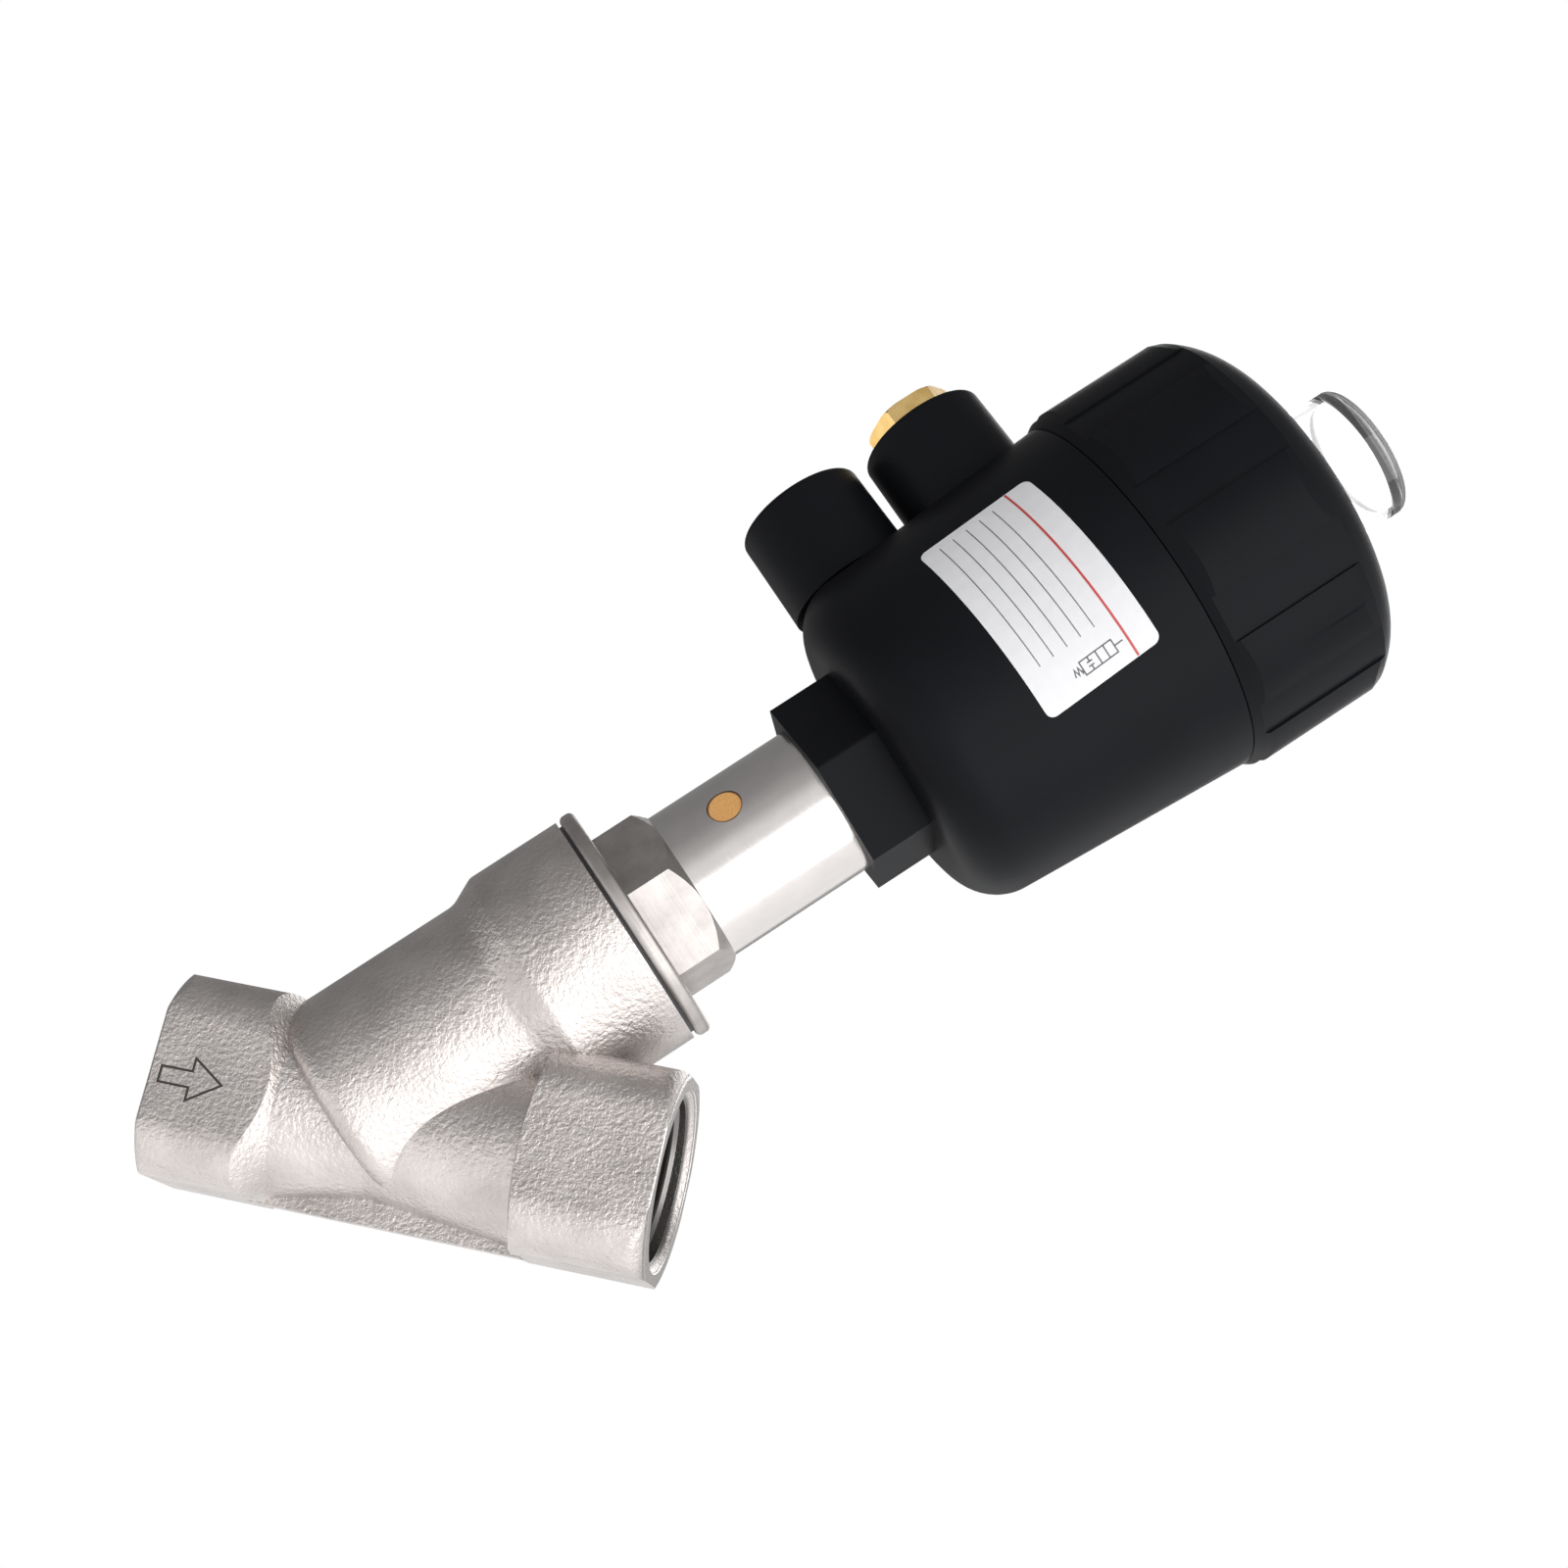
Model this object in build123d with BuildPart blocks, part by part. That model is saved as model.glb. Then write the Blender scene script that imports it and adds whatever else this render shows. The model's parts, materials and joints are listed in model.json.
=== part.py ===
"""Angle seat valve: a cast Y-pattern body with a screwed bonnet, a stainless neck tube and a
plastic piston actuator that lifts a soft-sealed plug off an inclined seat.

Millimetres, +Z up. The origin is on the pipe axis where the inlet thread begins, +X is the flow
direction, and the stem axis leans towards the outlet in the plane Y = 0. A "station" is a
distance along the stem axis, counted from where it crosses the pipe axis.
"""

import os
from math import cos, radians, sin, sqrt

from build123d import *

os.makedirs("parts", exist_ok=True)

# ---------------------------------------------------------------- clearances
running_gap = 0.05  # radial, between parts that slide or turn on each other
fitted_gap = 0.1  # between parts that are screwed or laid together
loose_gap = 0.4  # around a moving part that nothing should touch
seat_gap = 0.05  # between the plug's soft seal and the seat lip, valve closed

# ---------------------------------------------------------------- ports and casting
body_length = 75.0
stem_angle = 45.0  # between the pipe axis and the stem axis
mouth_chamfer = 1.3
mouth_radius = 13.4
port_thread_radius = 12.06  # G3/4 female thread, minor radius
port_thread_length = 14.2
port_flats = 29.8
port_edge_radius = 7.6
inlet_face_radius = 17.0
outlet_face_radius = 15.05
port_end_taper = 2.6
port_end_bulge = (0.3, 0.68)  # shares of the taper and of the radius it takes off, halfway
inlet_block_length = 14.6
inlet_block_taper = 3.9  # how far the block's corners take to reach the round barrel
outlet_block_length = 19.2
outlet_block_taper = 1.3
branch_offset = 24.5  # from the inlet face to the stem axis
barrel_inlet_radius = 13.9
barrel_waist_radius = 11.5
barrel_waist_offset = 7.5  # from the stem axis crossing to the waist
barrel_outlet_radius = 13.9
rib_thickness = 3.2
rib_depth = 15.1  # from the pipe axis to the rib's straight lower edge
waterway_radius = 9.0
outlet_waterway_radius = 10.4
seat_bore_radius = 8.8
seat_lip_width = 1.2
seat_lip_height = 1.0
seat_station = 5.0
seat_web = 3.0
chamber_radius = 13.0
branch_radius = 16.9
branch_foot_round = 3.0
collar_radius = 19.0
collar_length = 15.1
collar_step = 4.2
collar_top = 49.6
bonnet_thread_radius = 14.8
bonnet_thread_length = 10.6

# ---------------------------------------------------------------- bonnet and packing
gasket_thickness = 0.5
gasket_inset = 0.9
flange_radius = 19.3
flange_thickness = 2.4
flange_edge_round = 0.9
bonnet_flats = 24.6
bonnet_hex_length = 8.9
bonnet_hex_chamfer = 1.9
bonnet_nose_length = 2.0
bonnet_nose_radius = 12.4
bonnet_floor = 2.4
packing_bore_radius = 8.0
spigot_length = 4.6
wiper_length = 2.0
guide_bush_length = 4.0
packing_spring_length = 7.2
packing_wire = 1.1
packing_spring_turns = 4
support_ring_length = 1.6
chevron_count = 4
chevron_pitch = 1.5
chevron_depth = 0.9
gland_head_radius = 9.4
gland_head_length = 2.2

# ---------------------------------------------------------------- neck tube and rod guide
tube_radius = 12.1
tube_bore_radius = 10.4
tube_visible_length = 23.9
tube_pilot_radius = 11.5  # the turned-down top that the actuator swivels on
tube_shoulder_depth = 3.0  # how far the tube's shoulder lies inside the actuator foot
vent_radius = 2.75
vent_offset = 10.1  # from the bonnet's hexagon to the vent
vent_angle = 69.0  # from the port side of the stem axis, towards -Y
vent_disc_thickness = 1.0
vent_disc_recess = 0.35
thrust_washer_radius = 15.5
thrust_washer_thickness = 1.2
clip_thickness = 1.0
clip_depth = 0.5
clip_rise = 1.7
clip_opening = 40.0
guide_length = 11.0
guide_rim = 1.2  # of the rod guide above the tube's end
ring_groove_length = 2.2
rod_seal_radius = 7.4
rod_seal_length = 2.8
rod_seal_lip = 0.7

# ---------------------------------------------------------------- actuator
cylinder_wall = 3.0  # of the housing around the piston's bore, under the cap
foot_flats = 28.0
foot_length = 10.2
foot_edge_round = 0.7
floor_thickness = 4.0
shoulder_round = 8.5
bore_floor_round = 4.5
housing_foot_wall = 1.9
housing_length = 46.4  # from the shoulder face to the cap's seam
cap_thread_length = 13.0
seal_groove_width = 2.4
seal_groove_depth = 1.5
boss_radius = 10.4
boss_draft = 1.0
boss_height = 42.0  # from the stem axis to the boss's end
boss_edge_round = 1.0
boss_offset = 12.4  # from the shoulder face to the pilot boss
boss_spacing = 22.9
insert_radius = 7.4
insert_length = 12.0
insert_recess = 0.3
pilot_thread_radius = 5.72  # G1/4 female thread, minor radius
pilot_mouth_chamfer = 0.8
air_way_radius = 2.2
breather_flats = 13.0
breather_head = 3.6
breather_head_round = 0.9
breather_thread_length = 8.0
breather_bore_radius = 1.6

cap_seam = 0.2
cap_radius = 31.6
cap_wall = 3.6  # outside the thread
cap_overhang = 1.6  # beyond the housing's rim
cap_lobe_depth = 0.7
cap_lobes = 10
cap_lobe_round = 20.0
cap_lobe_angle = 22.0
cap_lobe_phase = 34.0
cap_skirt_chamfer = 2.6
cap_side_length = 20.9
cap_shoulder_chamfer = 2.0
cap_height = 31.4
dome_brow = (0.94, 0.27)  # shares of the cap's radius and of the dome's height, at three places
dome_bend = (0.84, 0.54)
dome_crown = (0.64, 0.81)
cap_cavity_gap = 0.4  # beyond the piston's bore
cap_crown_depth = 9.8  # from the cap's top to the ledge that the springs bear on
window_pocket_radius = 16.6
window_pocket_length = 6.5

window_radius = 11.2
window_wall = 1.6
window_end = 2.9
window_rise = 11.4
window_edge_round = 1.4
window_flange_radius = 15.6
window_flange_thickness = 1.8
window_seal_gap = 2.2

spring_seat_thickness = 1.8
spring_seat_rim = 2.6
outer_spring_gap = 0.3  # inside the piston's rim
outer_spring_wire = 3.2
outer_spring_turns = 6
inner_spring_radius = 13.0
inner_spring_wire = 2.2
inner_spring_turns = 8

# ---------------------------------------------------------------- stem, plug and piston
stem_radius = 5.0
stem_tail_radius = 3.0
stem_head_radius = 4.0
plug_radius = 11.5
plug_disc_thickness = 3.6
plug_hub_radius = 7.6
plug_hub_length = 12.0
plug_skirt = 1.6
seat_seal_radius = 10.7
seat_seal_thickness = 2.8
seal_washer_radius = 8.1
seal_washer_thickness = 1.4
plug_nut_flats = 9.0
plug_nut_length = 3.4
plug_pin_radius = 1.2
stem_tail_end = 0.8
piston_clearance = 1.4  # between the closed piston's hub and the rod guide
piston_land_gap = 0.5
piston_hub_radius = 9.0
piston_hub_length = 6.8
piston_thickness = 9.0
piston_web = 5.0
piston_rim = 3.4
lip_seal_length = 3.2
lip_seal_depth = 2.4
guide_ring_length = 2.4
guide_ring_depth = 1.4
land_length = 1.0
piston_washer_radius = 9.6
piston_washer_thickness = 1.4
piston_nut_flats = 13.0
piston_nut_length = 5.0
indicator_socket_radius = 5.6
indicator_socket_length = 7.0
indicator_socket_depth = 4.0
indicator_rod_radius = 3.0
indicator_head_radius = 8.4
indicator_head_length = 11.0
indicator_drop = 3.6  # of the indicator's top below the cap's crown, valve closed

# ---------------------------------------------------------------- frame and derived stations
inlet_face = -mouth_chamfer
outlet_face = inlet_face + body_length
branch_x = inlet_face + branch_offset
lean = (cos(radians(stem_angle)), 0, sin(radians(stem_angle)))
port_side = (-sin(radians(stem_angle)), 0, cos(radians(stem_angle)))
crossing = (branch_x, 0, 0)
stem_axis = Axis(crossing, lean)
stem_plane = Plane(origin=crossing, x_dir=port_side, z_dir=lean)  # local X to the ports, local Y to -Y
section = Plane(origin=crossing, x_dir=port_side, z_dir=(0, 1, 0))  # local X radius, local Y station

chamber_floor = seat_station - seat_lip_height
web_underside = chamber_floor - seat_web
collar_start = collar_top - collar_length
flange_start = collar_top + gasket_thickness
hex_start = flange_start + flange_thickness
tube_start = hex_start + bonnet_hex_length
bonnet_shank_end = collar_top - bonnet_thread_length
bonnet_end = bonnet_shank_end - bonnet_nose_length
wiper_start = bonnet_end + bonnet_floor
bush_start = wiper_start + wiper_length
packing_spring_start = bush_start + guide_bush_length
support_start = packing_spring_start + packing_spring_length
packing_start = support_start + support_ring_length
spigot_end = tube_start + spigot_length
spigot_radius = tube_bore_radius - fitted_gap

foot_start = tube_start + tube_visible_length
tube_shoulder = foot_start + tube_shoulder_depth
shoulder = foot_start + foot_length
floor = shoulder + floor_thickness
clip_start = floor + 2 * fitted_gap + thrust_washer_thickness
tube_end = clip_start + clip_thickness + land_length
guide_top = tube_end + guide_rim
guide_start = tube_end - guide_length
seam = shoulder + housing_length
rim_end = seam + cap_thread_length
pilot_station = shoulder + boss_offset
exhaust_station = pilot_station + boss_spacing
cap_start = seam + cap_seam
cap_top = cap_start + cap_height
cap_root_radius = cap_radius - cap_lobe_depth
cap_thread_radius = cap_radius - cap_wall
housing_rim_radius = cap_radius - cap_overhang
piston_bore_radius = cap_thread_radius - cylinder_wall
housing_foot_radius = piston_bore_radius + housing_foot_wall
cap_cavity_radius = piston_bore_radius + cap_cavity_gap
piston_radius = piston_bore_radius - piston_land_gap
outer_spring_radius = piston_radius - piston_rim - outer_spring_gap - outer_spring_wire / 2
spring_ledge = cap_top - cap_crown_depth
window_ledge = spring_ledge + window_pocket_length
window_top = cap_top + window_rise
window_flange_top = window_ledge - window_seal_gap
window_flange_start = window_flange_top - window_flange_thickness

seal_start = seat_station + seat_gap
seal_top = seal_start + seat_seal_thickness
washer_start = seal_start - seal_washer_thickness
plug_nut_start = washer_start - plug_nut_length
stem_tail_start = plug_nut_start - stem_tail_end
plug_hub_end = seal_top + plug_disc_thickness + plug_hub_length
stem_shoulder = seal_top + plug_disc_thickness
pin_station = (stem_shoulder + plug_hub_end) / 2
piston_start = guide_top + piston_clearance
piston_disc_start = piston_start + piston_hub_length
piston_top = piston_disc_start + piston_thickness
piston_floor = piston_disc_start + piston_web
piston_washer_top = piston_floor + piston_washer_thickness
piston_nut_top = piston_washer_top + piston_nut_length
indicator_start = piston_nut_top + fitted_gap
stem_head_end = indicator_start + indicator_socket_depth - fitted_gap
indicator_top = cap_top - indicator_drop
spring_top = spring_ledge - spring_seat_thickness


def at_station(distance):
    """The plane square to the stem axis at a station."""
    return stem_plane.offset(distance)


def turned(*outline):
    """A part revolved about the stem axis from (radius, station) corners."""
    with BuildPart() as piece:
        with BuildSketch(section):
            with BuildLine():
                Polyline(*outline, close=True)
            make_face()
        revolve(axis=stem_axis)
    return piece.part


def ring(bore, radius, start, end):
    """A plain turned ring between two stations."""
    return turned((bore, start), (radius, start), (radius, end), (bore, end))


def o_ring(bore, radius, centre):
    """A round-section seal ring about the stem axis."""
    cord = (radius - bore) / 2
    with BuildPart() as piece:
        with BuildSketch(section):
            with Locations((bore + cord, centre)):
                Circle(cord)
        revolve(axis=stem_axis)
    return piece.part


def coil_spring(mean_radius, wire, start, end, turns, left_hand=False):
    """A coil spring that bears on the faces at two stations."""
    rise = end - start - wire - 2 * running_gap
    foot = at_station(start + wire / 2 + running_gap).origin
    with BuildPart() as piece:
        with BuildLine() as path:
            Helix(rise / turns, rise, mean_radius, center=foot, direction=lean, lefthand=left_hand)
        with BuildSketch(Plane(origin=path.line @ 0, z_dir=path.line % 0)):
            Circle(wire / 2)
        sweep(is_frenet=True)
    return piece.part


def near(profile, *corner):
    """The corner of a sketch that lies nearest to a point."""
    return profile.vertices().sort_by_distance(corner)[0]


# ================================================================ valve body
# The waterways on the two sides of the inclined seat web, cut from the casting below. The inlet
# thread's bore and its cone are cut into the web too, so that a pipe screws in to its full depth.
with BuildPart() as inlet_bore:
    with BuildSketch(Plane.XZ):
        with BuildLine():
            cone_end = port_thread_length + port_thread_radius - waterway_radius
            Polyline(
                (inlet_face, 0),
                (inlet_face, mouth_radius),
                (0, port_thread_radius),
                (port_thread_length, port_thread_radius),
                (cone_end, waterway_radius),
                (cone_end, 0),
                close=True,
            )
        make_face()
    revolve(axis=Axis.X)

with BuildPart() as inlet_waterway:
    with BuildSketch(Plane.YZ.offset(inlet_face)):
        Circle(waterway_radius)
    extrude(amount=body_length)
    split(bisect_by=at_station(web_underside), keep=Keep.BOTTOM)
    add(inlet_bore.part)

outlet_thread_end = outlet_face - mouth_chamfer
outlet_thread_start = outlet_thread_end - port_thread_length
with BuildPart() as outlet_waterway:
    with BuildSketch(Plane.XZ):
        with BuildLine():
            Polyline(
                (inlet_face, 0),
                (inlet_face, waterway_radius),
                (branch_x + barrel_waist_offset, waterway_radius),
                (outlet_thread_start - port_thread_radius + outlet_waterway_radius, outlet_waterway_radius),
                (outlet_thread_start, port_thread_radius),
                (outlet_thread_end, port_thread_radius),
                (outlet_face, mouth_radius),
                (outlet_face, 0),
                close=True,
            )
        make_face()
    revolve(axis=Axis.X)
    split(bisect_by=at_station(chamber_floor), keep=Keep.TOP)

port_corner_radius = sqrt(2) * (port_flats / 2 - port_edge_radius) + port_edge_radius
inlet_block_end = inlet_face + inlet_block_length
outlet_block_start = outlet_face - outlet_block_length
taper_share, radius_share = port_end_bulge
inlet_bulge = inlet_face_radius + (port_corner_radius - inlet_face_radius) * radius_share
outlet_bulge = outlet_face_radius + (port_corner_radius - outlet_face_radius) * radius_share
with BuildPart() as valve_body:
    # The port blocks are one square bar, turned down to a round barrel between them.
    with BuildSketch(Plane.YZ.offset(inlet_face)):
        RectangleRounded(port_flats, port_flats, port_edge_radius)
    extrude(amount=body_length)
    with BuildSketch(Plane.XZ):
        with BuildLine():
            ThreePointArc(
                (inlet_face, inlet_face_radius),
                (inlet_face + port_end_taper * taper_share, inlet_bulge),
                (inlet_face + port_end_taper, port_corner_radius),
            )
            Polyline(
                (inlet_face + port_end_taper, port_corner_radius),
                (inlet_block_end, port_corner_radius),
                (inlet_block_end + inlet_block_taper, barrel_inlet_radius),
                (branch_x + barrel_waist_offset, barrel_waist_radius),
                (outlet_block_start - outlet_block_taper, barrel_outlet_radius),
                (outlet_block_start, port_corner_radius),
                (outlet_face - port_end_taper, port_corner_radius),
            )
            ThreePointArc(
                (outlet_face - port_end_taper, port_corner_radius),
                (outlet_face - port_end_taper * taper_share, outlet_bulge),
                (outlet_face, outlet_face_radius),
            )
            Polyline(
                (outlet_face, outlet_face_radius),
                (outlet_face, 0),
                (inlet_face, 0),
                (inlet_face, inlet_face_radius),
            )
        make_face()
    revolve(axis=Axis.X, mode=Mode.INTERSECT)
    with BuildSketch(section) as branch_profile:
        with BuildLine():
            Polyline(
                (0, 0),
                (branch_radius, 0),
                (branch_radius, collar_start - collar_step),
                (collar_radius, collar_start),
                (collar_radius, collar_top),
                (0, collar_top),
                close=True,
            )
        make_face()
        fillet(near(branch_profile, branch_radius, 0), branch_foot_round)
        fillet(near(branch_profile, branch_radius, collar_start - collar_step), collar_step)
        fillet(near(branch_profile, collar_radius, collar_start), collar_step / 2)
    revolve(axis=stem_axis)
    with BuildSketch(Plane.XZ):
        with BuildLine():
            Polyline(
                (inlet_block_end, -rib_depth),
                (outlet_block_start, -rib_depth),
                (outlet_block_start, -waterway_radius),
                (inlet_block_end, -waterway_radius),
                close=True,
            )
        make_face()
    extrude(amount=rib_thickness / 2, both=True)
    add(inlet_waterway.part, mode=Mode.SUBTRACT)
    add(outlet_waterway.part, mode=Mode.SUBTRACT)
    with BuildSketch(section):
        with BuildLine():
            Polyline(
                (0, chamber_floor),
                (chamber_radius, chamber_floor),
                (chamber_radius, bonnet_end),
                (bonnet_thread_radius, bonnet_shank_end),
                (bonnet_thread_radius, collar_top),
                (0, collar_top),
                close=True,
            )
        make_face()
    revolve(axis=stem_axis, mode=Mode.SUBTRACT)
    with BuildSketch(section):
        with BuildLine():
            Polyline(
                (seat_bore_radius - seat_lip_width, chamber_floor - seat_web / 2),
                (seat_bore_radius + 2 * seat_lip_width, chamber_floor - seat_web / 2),
                (seat_bore_radius + 2 * seat_lip_width, chamber_floor),
                (seat_bore_radius + seat_lip_width, seat_station),
                (seat_bore_radius - seat_lip_width, seat_station),
                close=True,
            )
        make_face()
    revolve(axis=stem_axis)
    with BuildSketch(at_station(web_underside - seat_web)):
        Circle(seat_bore_radius)
    extrude(amount=seat_web + seat_station - web_underside, mode=Mode.SUBTRACT)

body_gasket = ring(
    bonnet_thread_radius + fitted_gap, collar_radius - gasket_inset, collar_top, flange_start
)

# ================================================================ bonnet
with BuildPart() as bonnet:
    with BuildSketch(at_station(hex_start)):
        RegularPolygon(bonnet_flats / 2, 6, major_radius=False, rotation=30)
    extrude(amount=bonnet_hex_length)
    bonnet_corner = bonnet_flats / 2 / cos(radians(30))
    with BuildSketch(section):
        with BuildLine():
            Polyline(
                (0, hex_start),
                (bonnet_corner, hex_start),
                (bonnet_corner, tube_start - bonnet_hex_chamfer),
                (bonnet_flats / 2 - running_gap, tube_start),
                (0, tube_start),
                close=True,
            )
        make_face()
    revolve(axis=stem_axis, mode=Mode.INTERSECT)
    with BuildSketch(section) as bonnet_profile:
        with BuildLine():
            shank_radius = bonnet_thread_radius - fitted_gap
            Polyline(
                (0, bonnet_end),
                (bonnet_nose_radius, bonnet_end),
                (shank_radius, bonnet_shank_end + fitted_gap),
                (shank_radius, flange_start),
                (flange_radius, flange_start),
                (flange_radius, hex_start),
                (spigot_radius, hex_start),
                (spigot_radius, spigot_end),
                (0, spigot_end),
                close=True,
            )
        make_face()
        fillet(near(bonnet_profile, flange_radius, flange_start), flange_edge_round)
        fillet(near(bonnet_profile, flange_radius, hex_start), flange_edge_round)
    revolve(axis=stem_axis)
    with BuildSketch(section):
        with BuildLine():
            Polyline(
                (0, bonnet_end),
                (stem_radius + loose_gap, bonnet_end),
                (stem_radius + loose_gap, wiper_start),
                (packing_bore_radius, wiper_start),
                (packing_bore_radius, spigot_end),
                (0, spigot_end),
                close=True,
            )
        make_face()
    revolve(axis=stem_axis, mode=Mode.SUBTRACT)

# ================================================================ stem packing
stem_slide = stem_radius + running_gap
packing_fit = packing_bore_radius - running_gap
stem_wiper = turned(
    (stem_slide, wiper_start),
    (packing_fit, wiper_start),
    (packing_fit, bush_start),
    (stem_slide + wiper_length / 2, bush_start),
    (stem_slide, wiper_start + wiper_length / 2),
)
stem_guide_bush = ring(stem_slide, packing_fit, bush_start, packing_spring_start)
packing_spring = coil_spring(
    (stem_radius + packing_bore_radius) / 2,
    packing_wire,
    packing_spring_start,
    support_start,
    packing_spring_turns,
)
support_middle = (stem_slide + packing_fit) / 2
packing_support_ring = turned(
    (stem_slide, support_start),
    (packing_fit, support_start),
    (packing_fit, packing_start),
    (support_middle, packing_start + chevron_depth),
    (stem_slide, packing_start),
)
with BuildPart() as packing_rings:
    for index in range(chevron_count):
        base = packing_start + index * chevron_pitch
        top = base + chevron_pitch - fitted_gap
        with BuildSketch(section):
            with BuildLine():
                Polyline(
                    (stem_slide, base + fitted_gap),
                    (support_middle, base + chevron_depth + fitted_gap),
                    (packing_fit, base + fitted_gap),
                    (packing_fit, top),
                    (support_middle, top + chevron_depth),
                    (stem_slide, top),
                    close=True,
                )
            make_face()
        revolve(axis=stem_axis)
packing_seat = packing_start + chevron_count * chevron_pitch + fitted_gap
packing_gland = turned(
    (stem_slide, packing_seat),
    (support_middle, packing_seat + chevron_depth),
    (packing_fit, packing_seat),
    (packing_fit, spigot_end + fitted_gap),
    (gland_head_radius, spigot_end + fitted_gap),
    (gland_head_radius, spigot_end + gland_head_length),
    (stem_slide, spigot_end + gland_head_length),
)

# ================================================================ neck tube
vent_plane = Plane(
    origin=at_station(tube_start + vent_offset).origin,
    x_dir=lean,
    z_dir=stem_plane.x_dir * cos(radians(vent_angle)) + stem_plane.y_dir * sin(radians(vent_angle)),
)
clip_groove_radius = tube_pilot_radius - clip_depth
with BuildPart() as neck_tube:
    with BuildSketch(section):
        with BuildLine():
            Polyline(
                (tube_bore_radius, tube_start),
                (tube_radius, tube_start),
                (tube_radius, tube_shoulder),
                (tube_pilot_radius, tube_shoulder),
                (tube_pilot_radius, clip_start - fitted_gap),
                (clip_groove_radius, clip_start - fitted_gap),
                (clip_groove_radius, clip_start + clip_thickness + fitted_gap),
                (tube_pilot_radius, clip_start + clip_thickness + fitted_gap),
                (tube_pilot_radius, tube_end),
                (tube_bore_radius, tube_end),
                close=True,
            )
        make_face()
    revolve(axis=stem_axis)
    with BuildSketch(vent_plane):
        Circle(vent_radius)
    extrude(amount=tube_radius + fitted_gap, mode=Mode.SUBTRACT)

with BuildPart() as vent_disc:
    with BuildSketch(vent_plane.offset(tube_radius - vent_disc_recess - vent_disc_thickness)):
        Circle(vent_radius - running_gap)
    extrude(amount=vent_disc_thickness)

thrust_washer = ring(
    tube_pilot_radius + fitted_gap,
    thrust_washer_radius,
    floor + fitted_gap,
    floor + fitted_gap + thrust_washer_thickness,
)

with BuildPart() as tube_clip:
    with BuildSketch(at_station(clip_start)):
        Circle(tube_pilot_radius + clip_rise)
        Circle(clip_groove_radius + running_gap, mode=Mode.SUBTRACT)
        with BuildLine():
            reach = 2 * tube_pilot_radius
            half_opening = radians(clip_opening / 2)
            Polyline(
                (0, 0),
                (reach * cos(half_opening), reach * sin(half_opening)),
                (reach * cos(half_opening), -reach * sin(half_opening)),
                close=True,
            )
        make_face(mode=Mode.SUBTRACT)
    extrude(amount=clip_thickness)

# ================================================================ rod guide in the tube's end
guide_fit = tube_bore_radius - running_gap
guide_seal_start = guide_start + land_length
rod_seal_start = guide_seal_start + ring_groove_length + land_length
guide_groove = guide_fit - seal_groove_depth
rod_guide = turned(
    (stem_slide, guide_start),
    (guide_fit, guide_start),
    (guide_fit, guide_seal_start),
    (guide_groove, guide_seal_start),
    (guide_groove, guide_seal_start + ring_groove_length),
    (guide_fit, guide_seal_start + ring_groove_length),
    (guide_fit, tube_end),
    (tube_pilot_radius, tube_end),
    (tube_pilot_radius, guide_top),
    (stem_slide, guide_top),
    (stem_slide, rod_seal_start + rod_seal_length + fitted_gap),
    (rod_seal_radius, rod_seal_start + rod_seal_length + fitted_gap),
    (rod_seal_radius, rod_seal_start),
    (stem_slide, rod_seal_start),
)
rod_guide_ring = o_ring(guide_groove, guide_fit, guide_seal_start + ring_groove_length / 2)
rod_seal = turned(
    (stem_slide, rod_seal_start + rod_seal_lip),
    (stem_slide + rod_seal_lip, rod_seal_start + running_gap),
    (rod_seal_radius - running_gap, rod_seal_start + running_gap),
    (rod_seal_radius - running_gap, rod_seal_start + rod_seal_length),
    (stem_slide, rod_seal_start + rod_seal_length),
)

# ================================================================ actuator housing
foot_bore = tube_radius + running_gap
pilot_bore = tube_pilot_radius + running_gap
neck_groove_radius = pilot_bore + seal_groove_depth
neck_groove_start = (tube_shoulder + floor) / 2 - seal_groove_width / 2
boss_root = housing_foot_radius - boss_edge_round


def port_plane(station):
    """The plane of a boss's end face, its local Z pointing out of the port."""
    return Plane(origin=at_station(station).origin, x_dir=lean, z_dir=port_side).offset(boss_height)


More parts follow.
